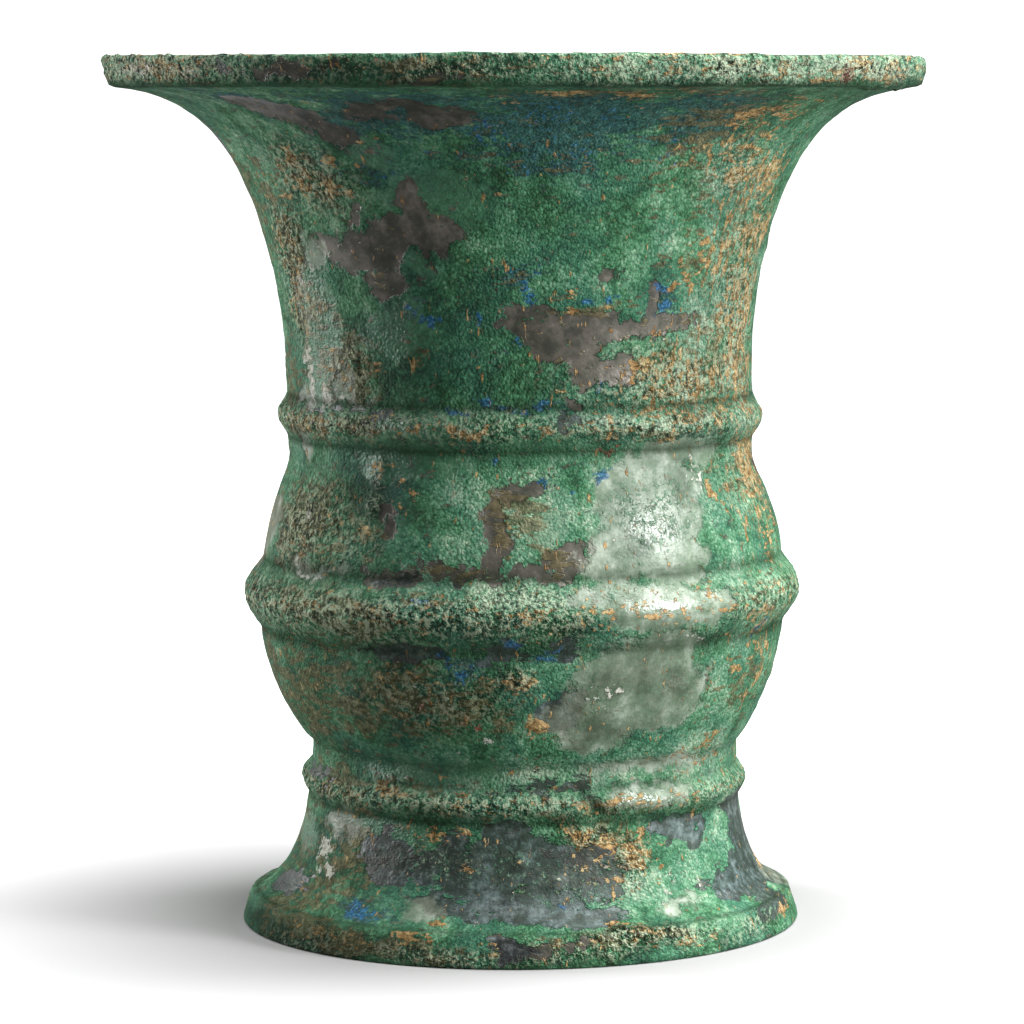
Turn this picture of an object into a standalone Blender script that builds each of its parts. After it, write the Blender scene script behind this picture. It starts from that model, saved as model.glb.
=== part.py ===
"""A bronze zun: a trumpet-mouthed wine vessel, cast in one piece and turned about the Z axis.

The vessel stands on its ring foot at z = 0. Its outer wall, read from the ground up, is a foot band,
a flaring foot with a thin ridge, a swelling belly with a broad ridge, a second thin ridge, and a
trumpet mouth that ends in a thick upright lip. Inside are a bowl with a floor above the hollow foot.
"""

import math

import bpy

# The vessel's overall sizes, in metres
HEIGHT = 0.250
LIP_RADIUS = 0.1182
LIP_HEIGHT = 0.0085
FOOT_RADIUS = 0.0810
FOOT_BAND_HEIGHT = 0.0085

# Radii of the outer wall where it narrows and swells, and of the flat in the bottom of the bowl
MOUTH_EDGE_RADIUS = 0.1151
NECK_RADIUS = 0.0670
BELLY_RADIUS = 0.0756
WAIST_RADIUS = 0.0615
FOOT_FLARE_RADIUS = 0.0784
BOWL_FLAT_RADIUS = 0.0360

# Heights where the outer wall changes from one form to the next, and of the bottom of the bowl
NECK_TOP = 0.1628
BELLY_TOP = 0.1356
BELLY_WIDEST = 0.0890
WAIST = 0.0530
BOWL_BOTTOM = 0.0530

# The three ridges: height of the crest, half of the ridge's height, and how far it stands proud
NECK_RIDGE = {"crest": 0.1473, "half_height": 0.0061, "proud": 0.0028, "points": 5}
BELLY_RIDGE = {"crest": 0.0969, "half_height": 0.0099, "proud": 0.0046, "points": 7}
FOOT_RIDGE = {"crest": 0.0420, "half_height": 0.0049, "proud": 0.0025, "points": 5}
RIDGES = (NECK_RIDGE, BELLY_RIDGE, FOOT_RIDGE)

# Thicknesses of the casting
BODY_WALL = 0.0032
LIP_WALL = 0.0065
LIP_FLAT = 0.0035
FOOT_WALL = 0.0036
FLOOR_THICKNESS = 0.0040

# Roundings
LIP_ROUNDING = 0.0012
FOOT_ROUNDING = 0.0008
FOOT_HOLLOW_ROUNDING = 0.0060

# How quickly each curve of the wall turns
MOUTH_RISE, MOUTH_TURN, MOUTH_REACH = 1.55, 5.3, 0.99
FOOT_RISE, FOOT_TURN, FOOT_REACH = 2.08, 9.5, 0.96
UPPER_BELLY_SWELL, UPPER_BELLY_TURN = 3.2, 1.5
LOWER_BELLY_SWELL, LOWER_BELLY_TURN = 1.71, 0.83
LIP_THICKENING = 3

# How finely the outline and the turning are divided
TURN_STEPS = 60
MOUTH_POINTS = 9
INNER_MOUTH_POINTS = 8
FOOT_POINTS = 6
BELLY_SHARES = (0.30, 0.58, 0.82, 1.0)
BOWL_POINTS = 5
SLOPE_STEP = 0.0002

# Old bronze under a green crust
PATINA_COLOUR = (0.10, 0.24, 0.15, 1.0)
PATINA_ROUGHNESS = 0.7
PATINA_METALLIC = 0.2

LIP_UNDERSIDE = HEIGHT - LIP_HEIGHT
FLOOR_UNDERSIDE = BOWL_BOTTOM - FLOOR_THICKNESS
LIP_FLAT_OUTER = LIP_RADIUS - LIP_ROUNDING


def flare(share, rise, turn, reach):
    """How much of its widening a flare has done at this share of its length, from 0 to 1."""
    done = 1 - (1 - (reach * share) ** rise) ** (1 / turn)
    whole = 1 - (1 - reach**rise) ** (1 / turn)
    return done / whole


def plain_radius(z):
    """Radius of the outer wall without its ridges, between the foot band and the lip."""
    if z >= NECK_TOP:
        share = (z - NECK_TOP) / (LIP_UNDERSIDE - NECK_TOP)
        widening = flare(min(share, 1.0), MOUTH_RISE, MOUTH_TURN, MOUTH_REACH)
        return NECK_RADIUS + (MOUTH_EDGE_RADIUS - NECK_RADIUS) * widening
    if z >= BELLY_TOP:
        return NECK_RADIUS
    if z >= BELLY_WIDEST:
        share = (z - BELLY_WIDEST) / (BELLY_TOP - BELLY_WIDEST)
        fullness = (1 - share**UPPER_BELLY_SWELL) ** UPPER_BELLY_TURN
        return NECK_RADIUS + (BELLY_RADIUS - NECK_RADIUS) * fullness
    if z >= WAIST:
        share = (BELLY_WIDEST - z) / (BELLY_WIDEST - WAIST)
        fullness = max(0.0, 1 - share**LOWER_BELLY_SWELL) ** LOWER_BELLY_TURN
        return WAIST_RADIUS + (BELLY_RADIUS - WAIST_RADIUS) * fullness
    share = (WAIST - z) / (WAIST - FOOT_BAND_HEIGHT)
    widening = flare(min(share, 1.0), FOOT_RISE, FOOT_TURN, FOOT_REACH)
    return WAIST_RADIUS + (FOOT_FLARE_RADIUS - WAIST_RADIUS) * widening


def ridge_height(z):
    """How far the ridges stand proud of the plain wall at this height."""
    proud = 0.0
    for ridge in RIDGES:
        share = abs(z - ridge["crest"]) / ridge["half_height"]
        if share < 1:
            proud += ridge["proud"] * (1 - share**2) ** 1.5
    return proud


def outer_point(z):
    return (plain_radius(z) + ridge_height(z), z)


def inner_point(z, wall):
    """The point of the inside that lies one wall thickness in from the plain outer wall at height z."""
    slope = (plain_radius(z + SLOPE_STEP) - plain_radius(z - SLOPE_STEP)) / (2 * SLOPE_STEP)
    length = math.hypot(1, slope)
    return (plain_radius(z) - wall / length, z + wall * slope / length)


def shares(count, crowding=1.0):
    """Shares from 0 to 1 in this many steps, drawn together towards 1 where crowding is over 1."""
    return [1 - (1 - step / count) ** crowding for step in range(count + 1)]


def ridge_points(ridge):
    """Points over one ridge, from its upper edge to its lower edge."""
    upper_edge = ridge["crest"] + ridge["half_height"]
    steps = shares(ridge["points"] - 1)
    return [outer_point(upper_edge - 2 * ridge["half_height"] * share) for share in steps]


def arc(centre, radius, start, end, count):
    """Points along an arc in the outline's plane, with the angles in degrees from +X towards +Z."""
    angles = [math.radians(start + (end - start) * share) for share in shares(count)]
    return [(centre[0] + radius * math.cos(a), centre[1] + radius * math.sin(a)) for a in angles]


def bowl():
    """The inside from the middle of its flat bottom up to the widest part of the belly."""
    width = BELLY_RADIUS - BODY_WALL - BOWL_FLAT_RADIUS
    depth = BELLY_WIDEST - BOWL_BOTTOM
    points = [(0.0, BOWL_BOTTOM)]
    for share in shares(BOWL_POINTS):
        turn = share * math.pi / 2
        points.append((BOWL_FLAT_RADIUS + width * math.sin(turn), BELLY_WIDEST - depth * math.cos(turn)))
    return points


def inner_wall():
    """The inside from the belly up through the neck to the top of the lip."""
    heights = [BELLY_WIDEST + (BELLY_TOP - BELLY_WIDEST) * share for share in BELLY_SHARES]
    points = [inner_point(z, BODY_WALL) for z in heights + [NECK_TOP]]
    for share in shares(INNER_MOUTH_POINTS, crowding=2.0)[1:-1]:
        z = NECK_TOP + (LIP_UNDERSIDE - NECK_TOP) * share
        opening = (plain_radius(z) - NECK_RADIUS) / (MOUTH_EDGE_RADIUS - NECK_RADIUS)
        wall = BODY_WALL + (LIP_WALL - BODY_WALL) * opening**LIP_THICKENING
        points.append(inner_point(z, wall))
    return points


def lip():
    """Over the lip: its flat top, its rounded edges and its upright band."""
    flat_inner = LIP_FLAT_OUTER - LIP_FLAT
    top = arc((LIP_FLAT_OUTER, HEIGHT - LIP_ROUNDING), LIP_ROUNDING, 90, 0, 3)
    lower_edge = (MOUTH_EDGE_RADIUS + LIP_ROUNDING, LIP_UNDERSIDE + LIP_ROUNDING / 2)
    return [(flat_inner, HEIGHT)] + top + [lower_edge]


def outer_wall():
    """The outside from under the lip down to the top of the foot band."""
    points = []
    for share in reversed(shares(MOUTH_POINTS, crowding=2.2)):
        points.append(outer_point(NECK_TOP + (LIP_UNDERSIDE - NECK_TOP) * share))
    points += ridge_points(NECK_RIDGE)
    ridge_top = BELLY_RIDGE["crest"] + BELLY_RIDGE["half_height"]
    points += [outer_point(ridge_top + (BELLY_TOP - ridge_top) * share) for share in reversed(BELLY_SHARES)]
    points += ridge_points(BELLY_RIDGE)
    ridge_foot = BELLY_RIDGE["crest"] - BELLY_RIDGE["half_height"]
    points += [outer_point(ridge_foot + (WAIST - ridge_foot) * share) for share in BELLY_SHARES]
    points += ridge_points(FOOT_RIDGE)
    for share in shares(FOOT_POINTS, crowding=1.8)[2:]:
        points.append(outer_point(WAIST - (WAIST - FOOT_BAND_HEIGHT) * share))
    return points


def foot():
    """The foot band, the ring that the vessel stands on, and the hollow under the floor."""
    edge = arc((FOOT_RADIUS - FOOT_ROUNDING, FOOT_ROUNDING), FOOT_ROUNDING, 0, -90, 2)
    inner_top = inner_point(FOOT_BAND_HEIGHT, FOOT_WALL)
    points = edge + [(inner_top[0], 0.0)]
    for share in reversed(shares(FOOT_POINTS, crowding=1.8)[1:]):
        points.append(inner_point(WAIST - (WAIST - FOOT_BAND_HEIGHT) * share, FOOT_WALL))
    corner_radius = plain_radius(FOOT_RIDGE["crest"]) - FOOT_WALL - FOOT_HOLLOW_ROUNDING
    corner = (corner_radius, FLOOR_UNDERSIDE - FOOT_HOLLOW_ROUNDING)
    return points + arc(corner, FOOT_HOLLOW_ROUNDING, 0, 90, 3) + [(0.0, FLOOR_UNDERSIDE)]


def outline():
    """The whole section at +X, from the bowl's centre over the lip and down to the hollow's centre."""
    return bowl() + inner_wall() + lip() + outer_wall() + foot()


def bronze_material():
    material = bpy.data.materials.new("bronze_patina")
    material.use_nodes = True
    shader = material.node_tree.nodes["Principled BSDF"]
    shader.inputs["Base Color"].default_value = PATINA_COLOUR
    shader.inputs["Roughness"].default_value = PATINA_ROUGHNESS
    shader.inputs["Metallic"].default_value = PATINA_METALLIC
    return material


def turned(name, points, material, collection):
    """A solid of revolution about Z from an outline at +X that starts and ends on the axis."""
    mesh = bpy.data.meshes.new(name)
    edges = [(i, i + 1) for i in range(len(points) - 1)]
    mesh.from_pydata([(x, 0.0, z) for x, z in points], edges, [])
    body = bpy.data.objects.new(name, mesh)
    collection.objects.link(body)
    screw = body.modifiers.new("turning", "SCREW")
    screw.axis = "Z"
    screw.angle = math.tau
    screw.steps = TURN_STEPS
    screw.render_steps = TURN_STEPS
    screw.use_merge_vertices = True
    screw.merge_threshold = 0.00001
    screw.use_smooth_shade = True
    mesh.materials.append(material)
    return body


def build():
    for old in list(bpy.data.objects):
        bpy.data.objects.remove(old)
    collection = bpy.data.collections.new("bronze_zun")
    bpy.context.scene.collection.children.link(collection)
    turned("zun_vessel", outline(), bronze_material(), collection)


build()
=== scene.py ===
# %% [markdown]
# # A bronze zun
# A zun is an ancient wine vessel: a wide trumpet mouth on a swelling belly and a flared ring foot. This one
# is bronze, cast in one piece, with an old green crust. The lesson turns the vessel from its section,
# roughens it as years in the ground did, colours the crust in layers, and sets it in a small photographer's
# studio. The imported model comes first, because it sets the size of everything here.

# %% Load the frame
import math
import random

import bpy
import numpy as np
from mathutils import Matrix, Vector, noise
from mathutils.kdtree import KDTree


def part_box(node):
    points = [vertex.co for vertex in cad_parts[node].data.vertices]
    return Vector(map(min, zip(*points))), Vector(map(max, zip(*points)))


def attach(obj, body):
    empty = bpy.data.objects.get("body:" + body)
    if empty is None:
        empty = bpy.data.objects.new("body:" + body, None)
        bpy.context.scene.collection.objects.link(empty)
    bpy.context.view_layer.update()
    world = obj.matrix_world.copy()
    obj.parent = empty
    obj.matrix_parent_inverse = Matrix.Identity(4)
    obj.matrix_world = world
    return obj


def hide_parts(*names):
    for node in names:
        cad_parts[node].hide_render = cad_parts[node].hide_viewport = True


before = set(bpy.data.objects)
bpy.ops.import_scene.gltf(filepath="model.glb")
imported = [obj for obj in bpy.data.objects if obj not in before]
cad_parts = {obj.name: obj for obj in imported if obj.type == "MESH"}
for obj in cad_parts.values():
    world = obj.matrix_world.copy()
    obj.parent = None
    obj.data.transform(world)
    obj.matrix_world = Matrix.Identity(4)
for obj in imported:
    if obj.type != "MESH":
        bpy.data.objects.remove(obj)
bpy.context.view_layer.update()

# %% [markdown]
# ## Millimetres
# A maker thinks of a vessel like this in millimetres, while Blender works in metres. All sizes below are
# therefore millimetres, and one value turns them into metres. It comes from the frame's own height, so the
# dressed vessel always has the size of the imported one.

# %% One millimetre of this vessel
low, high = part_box("zun_vessel")
FULL_HEIGHT = 250.0
MM = high.z / FULL_HEIGHT
LIP_RADIUS = high.x / MM
print("vessel: %.1f mm high, lip radius %.1f mm" % (high.z / MM, LIP_RADIUS))

# %% [markdown]
# ## The section
# Everything on the vessel is round, so one line says its whole shape: its section, from the middle of the
# bowl up the inside, over the lip, down the outside and under the foot. The flares are curves that turn
# more and more quickly, as a trumpet's do, and each ridge is a rounded bead added to the plain wall.
# Formulas are used instead of drawn points because the line can then be divided as finely as the relief
# needs.

# %% Sizes of the section
LIP_HEIGHT = 8.5
FOOT_RADIUS = 81.0
FOOT_BAND = 8.5
MOUTH_EDGE, NECK, BELLY, WAIST_SIZE, FOOT_TOP = 115.1, 67.0, 75.6, 61.5, 78.4
NECK_TOP, BELLY_TOP, WIDEST, WAIST = 162.8, 135.6, 89.0, 53.0
BOWL_FLAT, BOWL_BOTTOM, FLOOR_THICK = 36.0, 53.0, 4.0
WALL, LIP_WALL, LIP_FLAT, FOOT_WALL = 3.2, 6.5, 3.5, 3.6
LIP_ROUNDING, FOOT_ROUNDING, HOLLOW_ROUNDING = 1.2, 0.8, 6.0
UNDER_LIP = FULL_HEIGHT - LIP_HEIGHT
# Each ridge: the height of its crest, half of its own height, and how far it stands proud
RIDGES = {"neck": (147.3, 6.1, 2.8), "belly": (96.9, 9.9, 4.6), "foot": (42.0, 4.9, 2.5)}
# How the wall curves: the two flares, and the swell of the belly above and below its widest line
MOUTH_CURVE, FOOT_CURVE = (1.55, 5.3, 0.99), (2.08, 9.5, 0.96)
UPPER_SWELL, LOWER_SWELL = (3.2, 1.5), (1.71, 0.83)
BEAD = 1.5
SLOPE_STEP = 0.2


def flare(share, rise, turn, reach):
    """How much of its widening a flare has done at this share of its length."""
    whole = 1 - (1 - reach**rise) ** (1 / turn)
    return (1 - (1 - (reach * share) ** rise) ** (1 / turn)) / whole


def plain_radius(z):
    """Radius of the outer wall without its ridges, in millimetres."""
    if z >= NECK_TOP:
        share = min(1.0, (z - NECK_TOP) / (UNDER_LIP - NECK_TOP))
        return NECK + (MOUTH_EDGE - NECK) * flare(share, *MOUTH_CURVE)
    if z >= BELLY_TOP:
        return NECK
    if z >= WIDEST:
        swell, draw_in = UPPER_SWELL
        return NECK + (BELLY - NECK) * (1 - ((z - WIDEST) / (BELLY_TOP - WIDEST)) ** swell) ** draw_in
    if z >= WAIST:
        swell, draw_in = LOWER_SWELL
        drop = max(0.0, 1 - ((WIDEST - z) / (WIDEST - WAIST)) ** swell)
        return WAIST_SIZE + (BELLY - WAIST_SIZE) * drop**draw_in
    share = min(1.0, (WAIST - z) / (WAIST - FOOT_BAND))
    return WAIST_SIZE + (FOOT_TOP - WAIST_SIZE) * flare(share, *FOOT_CURVE)


def outer_point(z):
    """The outer wall with its ridges at this height."""
    proud = 0.0
    for crest, half_height, rise in RIDGES.values():
        share = abs(z - crest) / half_height
        if share < 1:
            proud += rise * (1 - share**2) ** BEAD
    return (plain_radius(z) + proud, z)


def inner_point(z, wall):
    """The inside, one wall thickness in from the plain outer wall at this height."""
    slope = (plain_radius(z + SLOPE_STEP) - plain_radius(z - SLOPE_STEP)) / (2 * SLOPE_STEP)
    length = math.hypot(1, slope)
    return (plain_radius(z) - wall / length, z + wall * slope / length)


print("outer wall at the neck, belly and waist:", [round(outer_point(z)[0], 1) for z in (150, 97, WAIST)])

# %% [markdown]
# The points are then set evenly along each stretch of the line. The outside gets them about 1.6 mm apart,
# so that the crust can be real relief. The inside is seen less and is plainer, so there they are about 5 mm
# apart, and closer only towards the lip. Stretches end where the wall has a crease, and that keeps the
# creases crisp.

# %% Points along the section


def evenly(points, spacing):
    """The same line with its points set evenly, about this far apart."""
    points = np.array(points, float)
    along = np.concatenate([[0.0], np.cumsum(np.hypot(*np.diff(points, axis=0).T))])
    places = np.linspace(0, along[-1], max(1, round(along[-1] / spacing)) + 1)
    return list(zip(np.interp(places, along, points[:, 0]), np.interp(places, along, points[:, 1])))


def arc(centre, radius, start, end):
    """An arc in the section's plane, angles in degrees from outwards towards up."""
    angles = np.radians(np.linspace(start, end, 13))
    return [(centre[0] + radius * math.cos(a), centre[1] + radius * math.sin(a)) for a in angles]


def between(top, bottom, point, count=900):
    """A finely divided stretch of wall between two heights."""
    return [point(z) for z in np.linspace(top, bottom, count)]


def mouth_inside(z):
    """The inside of the trumpet, whose wall thickens towards the lip."""
    opening = (plain_radius(z) - NECK) / (MOUTH_EDGE - NECK)
    return inner_point(z, WALL + (LIP_WALL - WALL) * opening**3)


# How far apart the points lie, in millimetres: the outside's finely, the inside's more widely
OUTSIDE_APART, BAND_APART, BOWL_APART, NECK_APART, MOUTH_APART = 1.62, 1.15, 5.5, 4.5, 2.2
LIP_TOP_APART, LIP_SIDE_APART, LIP_EDGE_APART, FOOT_EDGE_APART = 1.2, 1.1, 0.7, 0.6
FLAT_APART, RING_APART, HOLLOW_APART, CORNER_APART, UNDER_FLOOR_APART = 6, 2, 4, 3, 7
# Heights where the points inside draw together, where the lip starts and where the hollow foot ends
MOUTH_OPENS, LIP_STARTS, HOLLOW_TOP = 225, 239.5, 43

bowl_depth, bowl_width = WIDEST - BOWL_BOTTOM, BELLY - WALL - BOWL_FLAT
bowl = [
    (BOWL_FLAT + bowl_width * math.sin(a), WIDEST - bowl_depth * math.cos(a))
    for a in np.linspace(0, math.pi / 2, 60)
]
ridge_edges = [crest + side * half for crest, half, _ in RIDGES.values() for side in (1, -1)]
creases = sorted([UNDER_LIP, WAIST, FOOT_BAND] + ridge_edges, reverse=True)

lip_inner = (LIP_RADIUS - LIP_ROUNDING - LIP_FLAT, FULL_HEIGHT)
lip_outer = (LIP_RADIUS - LIP_ROUNDING, FULL_HEIGHT)
lip_corner = (MOUTH_EDGE + LIP_ROUNDING, UNDER_LIP + LIP_ROUNDING / 2)
stretches = [
    evenly([(0, BOWL_BOTTOM), (BOWL_FLAT, BOWL_BOTTOM)], FLAT_APART),
    evenly(bowl, BOWL_APART),
    evenly(between(WIDEST, BELLY_TOP, lambda z: inner_point(z, WALL)), BOWL_APART),
    evenly(between(BELLY_TOP, MOUTH_OPENS, mouth_inside), NECK_APART),
    evenly(between(MOUTH_OPENS, LIP_STARTS, mouth_inside) + [lip_inner], MOUTH_APART),
    evenly([lip_inner, lip_outer], LIP_TOP_APART),
    evenly(arc((lip_outer[0], FULL_HEIGHT - LIP_ROUNDING), LIP_ROUNDING, 90, 0), LIP_EDGE_APART),
    evenly([(LIP_RADIUS, FULL_HEIGHT - LIP_ROUNDING), lip_corner], LIP_SIDE_APART),
    [lip_corner, (MOUTH_EDGE, UNDER_LIP)],
]
for top, bottom in zip(creases, creases[1:]):
    stretches.append(evenly(between(top, bottom, outer_point), OUTSIDE_APART))

ring_inside = inner_point(FOOT_BAND, FOOT_WALL)
hollow_side = plain_radius(RIDGES["foot"][0]) - FOOT_WALL
floor_under = BOWL_BOTTOM - FLOOR_THICK
foot_edge = FOOT_RADIUS - FOOT_ROUNDING
hollow_corner = (hollow_side - HOLLOW_ROUNDING, floor_under - HOLLOW_ROUNDING)
foot_inside = between(FOOT_BAND, HOLLOW_TOP, lambda z: inner_point(z, FOOT_WALL))
stretches += [
    evenly([(FOOT_TOP, FOOT_BAND), (FOOT_RADIUS, FOOT_ROUNDING)], BAND_APART),
    evenly(arc((foot_edge, FOOT_ROUNDING), FOOT_ROUNDING, 0, -90), FOOT_EDGE_APART),
    evenly([(foot_edge, 0), (ring_inside[0], 0)], RING_APART),
    evenly([(ring_inside[0], 0)] + foot_inside, HOLLOW_APART),
    evenly(arc(hollow_corner, HOLLOW_ROUNDING, 0, 90), CORNER_APART),
    evenly([(hollow_corner[0], floor_under), (0, floor_under)], UNDER_FLOOR_APART),
]

CLOSEST = 0.15
section = [stretches[0][0]]
for stretch in stretches:
    section += [p for p in stretch if math.dist(p, section[-1]) > CLOSEST]
section = np.array(section)
print("section: %d points" % len(section))

# %% [markdown]
# ## Turning the vessel
# By hand this is done as on a potter's wheel: one vertex is extruded along the section, point by point, and
# the finished line is turned round the vessel's axis by a Screw modifier. The Spin tool would do the same,
# but it is slow with so many steps. The front half is turned in finer steps than the back, because the
# crust there has to follow the photograph. The halves are then joined, their seam and the two poles are
# merged, and the normals are turned outwards.

# %% Turn the section
FRONT_STEPS, BACK_STEPS = 240, 116
POLE_JOIN, SEAM_JOIN = 0.00001, 0.00002  # metres

bpy.ops.object.select_all(action="DESELECT")
bpy.ops.mesh.primitive_plane_add(size=0.01)
vessel = bpy.context.object
vessel.name = vessel.data.name = "vessel"
bpy.ops.object.mode_set(mode="EDIT")
bpy.ops.mesh.select_all(action="SELECT")
bpy.ops.mesh.merge(type="CENTER")
bpy.ops.transform.translate(value=(-section[0][0] * MM, 0, section[0][1] * MM))
for step in np.diff(section, axis=0) * MM:
    bpy.ops.mesh.extrude_vertices_move(TRANSFORM_OT_translate={"value": (-step[0], 0, step[1])})
bpy.ops.object.mode_set(mode="OBJECT")

bpy.ops.object.duplicate()
back = bpy.context.object
bpy.ops.object.mode_set(mode="EDIT")
bpy.ops.mesh.select_all(action="SELECT")
bpy.ops.transform.rotate(value=math.pi, orient_axis="Z", center_override=(0, 0, 0))
bpy.ops.object.mode_set(mode="OBJECT")
for half, steps in ((back, BACK_STEPS), (vessel, FRONT_STEPS)):
    screw = half.modifiers.new("turning", "SCREW")
    screw.axis, screw.angle = "Z", math.pi
    screw.use_merge_vertices, screw.merge_threshold = True, POLE_JOIN
    screw.steps = screw.render_steps = steps
    bpy.context.view_layer.objects.active = half
    bpy.ops.object.modifier_apply(modifier="turning")
vessel.select_set(True)
bpy.ops.object.join()
bpy.ops.object.mode_set(mode="EDIT")
bpy.ops.mesh.select_all(action="SELECT")
bpy.ops.mesh.remove_doubles(threshold=SEAM_JOIN)
bpy.ops.mesh.normals_make_consistent(inside=False)
bpy.ops.object.mode_set(mode="OBJECT")
triangles = sum(len(f.vertices) - 2 for f in vessel.data.polygons)
print("vessel: %d vertices, %d triangles" % (len(vessel.data.vertices), triangles))

# %% [markdown]
# ## Finding one's way on the wall
# Places on the vessel are easiest to name as a turn and a height: the turn is the angle in degrees from the
# front, positive to the right, and the height is in millimetres above the ground. Each vertex gets both,
# and also how far along the wall it lies, because under the lip the wall runs almost flat, and a patch
# measured by height alone would be stretched there.

# %% Turn, height and distance along the wall for each vertex
count = len(vessel.data.vertices)
spots = np.empty(count * 3, np.float32)
vessel.data.vertices.foreach_get("co", spots)
spots = spots.reshape(-1, 3).astype(float) / MM
reach = np.hypot(spots[:, 0], spots[:, 1])
height = spots[:, 2].copy()
turn = np.degrees(np.arctan2(spots[:, 0], -spots[:, 1]))

tree = KDTree(len(section))
for i, (r, z) in enumerate(section):
    tree.insert((r, 0, z), i)
tree.balance()
ring = np.array([tree.find((r, 0, z))[1] for r, z in zip(reach, height)])

travel = np.concatenate([[0.0], np.cumsum(np.hypot(*np.diff(section, axis=0).T))])
first = int(np.argmin(np.hypot(section[:, 0] - LIP_RADIUS, section[:, 1] - FULL_HEIGHT + LIP_ROUNDING)))
last = int(np.argmin(np.hypot(section[:, 0] - FOOT_RADIUS, section[:, 1] - FOOT_ROUNDING)))
outside = (ring >= first - 2) & (ring <= last + 1)
along = (travel[last] - travel)[ring]
wall_heights, wall_travel = section[first:last + 1, 1][::-1], (travel[last] - travel)[first:last + 1][::-1]
print("outside: %d rings, %.0f mm along the wall" % (last - first, wall_travel[-1]))


def along_at(z):
    """How far along the wall, from the ground, this height on the outside lies."""
    return float(np.interp(z, wall_heights, wall_travel))


def waves(size, octaves, shift=0.0):
    """Soft irregular waves of about this size in millimetres, from -1 to 1."""
    offset = Vector((shift, shift, shift))
    return np.array([noise.fractal(Vector(p) / size + offset, 1.0, 2.0, octaves) for p in spots])


def smooth(x):
    """Goes softly from 0 to 1 while x does."""
    x = np.clip(x, 0, 1)
    return x * x * (3 - 2 * x)


BEND_SIZE, MOST_SIDEWAYS, MOST_UPWARDS = 10, 3.4, 2.8
bend_sideways = MOST_SIDEWAYS * waves(BEND_SIZE, 3, 20.5)
bend_upwards = MOST_UPWARDS * waves(BEND_SIZE, 3, 60.5)


def oval(angle, z, half_width, half_height, slant):
    """For each vertex, how far out it lies in a bent oval patch: 0 at its centre and 1 on its edge."""
    sideways = np.radians((turn - angle + 180) % 360 - 180) * reach + bend_sideways
    upwards = along - along_at(z) + bend_upwards
    s = math.radians(slant)
    a = (sideways * math.cos(s) + upwards * math.sin(s)) / half_width
    b = (upwards * math.cos(s) - sideways * math.sin(s)) / half_height
    return np.where(outside, np.hypot(a, b), 9.0)


def patch(rows):
    """Depth in millimetres inside the nearest of these patches, and negative outside them."""
    depth = np.full(count, -10.0)
    for row in rows:
        depth = np.maximum(depth, (1 - oval(*row)) * min(row[2], row[3]))
    return depth


def dust(rows):
    """How thickly something lies, from 0 to 1, where it fades at its edges."""
    thick = np.zeros(count)
    for *row, strength in rows:
        thick = np.maximum(thick, np.clip(1.3 - oval(*row), 0, 1) * strength)
    return thick


# %% [markdown]
# ## Where the patina differs
# The crust isn't one colour. Some places have lost it and show grey-brown metal, others carry a smooth dark
# green skin, a grey film with a shine, or slate-coloured tin-rich metal. Each is set down here as a list of
# oval patches that overlap, and their edges are made ragged later, in the material. A row says: turn,
# height, half width, half height and slant.

# %% Bare metal
BARE_UNDER_LIP = [
    (-42, 234, 22, 6, -29), (-34, 229, 9, 4, -6), (-24, 235, 9, 3.6, 9), (-13, 234, 10, 5.3, -13),
    (-18, 237, 7.5, 3.5, 0),
]
BARE_ON_LIP = [(-31, 246, 11, 2.2, 0), (-10, 243, 7, 1.3, 0)]
BARE_NECK_LEFT = [
    (-27, 199, 12, 8, 0), (-38, 196, 9, 6.5, -8), (-46, 198, 5, 4, 0), (-22, 210, 4.5, 7, 0),
    (-17, 201, 6, 4.5, -25), (-24, 191, 7, 5, 30), (-30, 188, 7, 4, 0), (-36, 207, 2.5, 3, 0),
]
BARE_NECK_MIDDLE = [
    (3, 178, 7.5, 4.5, 0), (17, 176, 11, 4, -5), (34, 175, 15, 4, 3), (33, 183, 3, 5, 0),
    (10, 171, 10, 5.5, -8), (19, 165, 9, 6.5, -5), (25, 162, 5, 4, 0), (21, 190, 2.5, 2.5, 0),
    (12, 154, 2.5, 2, 0),
]
BARE_BELLY = [
    (0, 131, 7.5, 3.5, 0), (-6, 124, 4.5, 7, 0), (-6, 115, 4.5, 6, 0), (9, 112, 7, 4.5, 20),
    (-13, 109, 14, 2.6, 0), (2, 108, 9, 2.2, 0), (-29, 107, 10, 2, 0), (-32, 121, 2, 4, 17),
]
BARE_FOOT = [(-3, 5, 4.5, 3, 0), (2, 5, 4.5, 2.5, 0), (11, 6, 5, 1.7, 0)]

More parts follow.
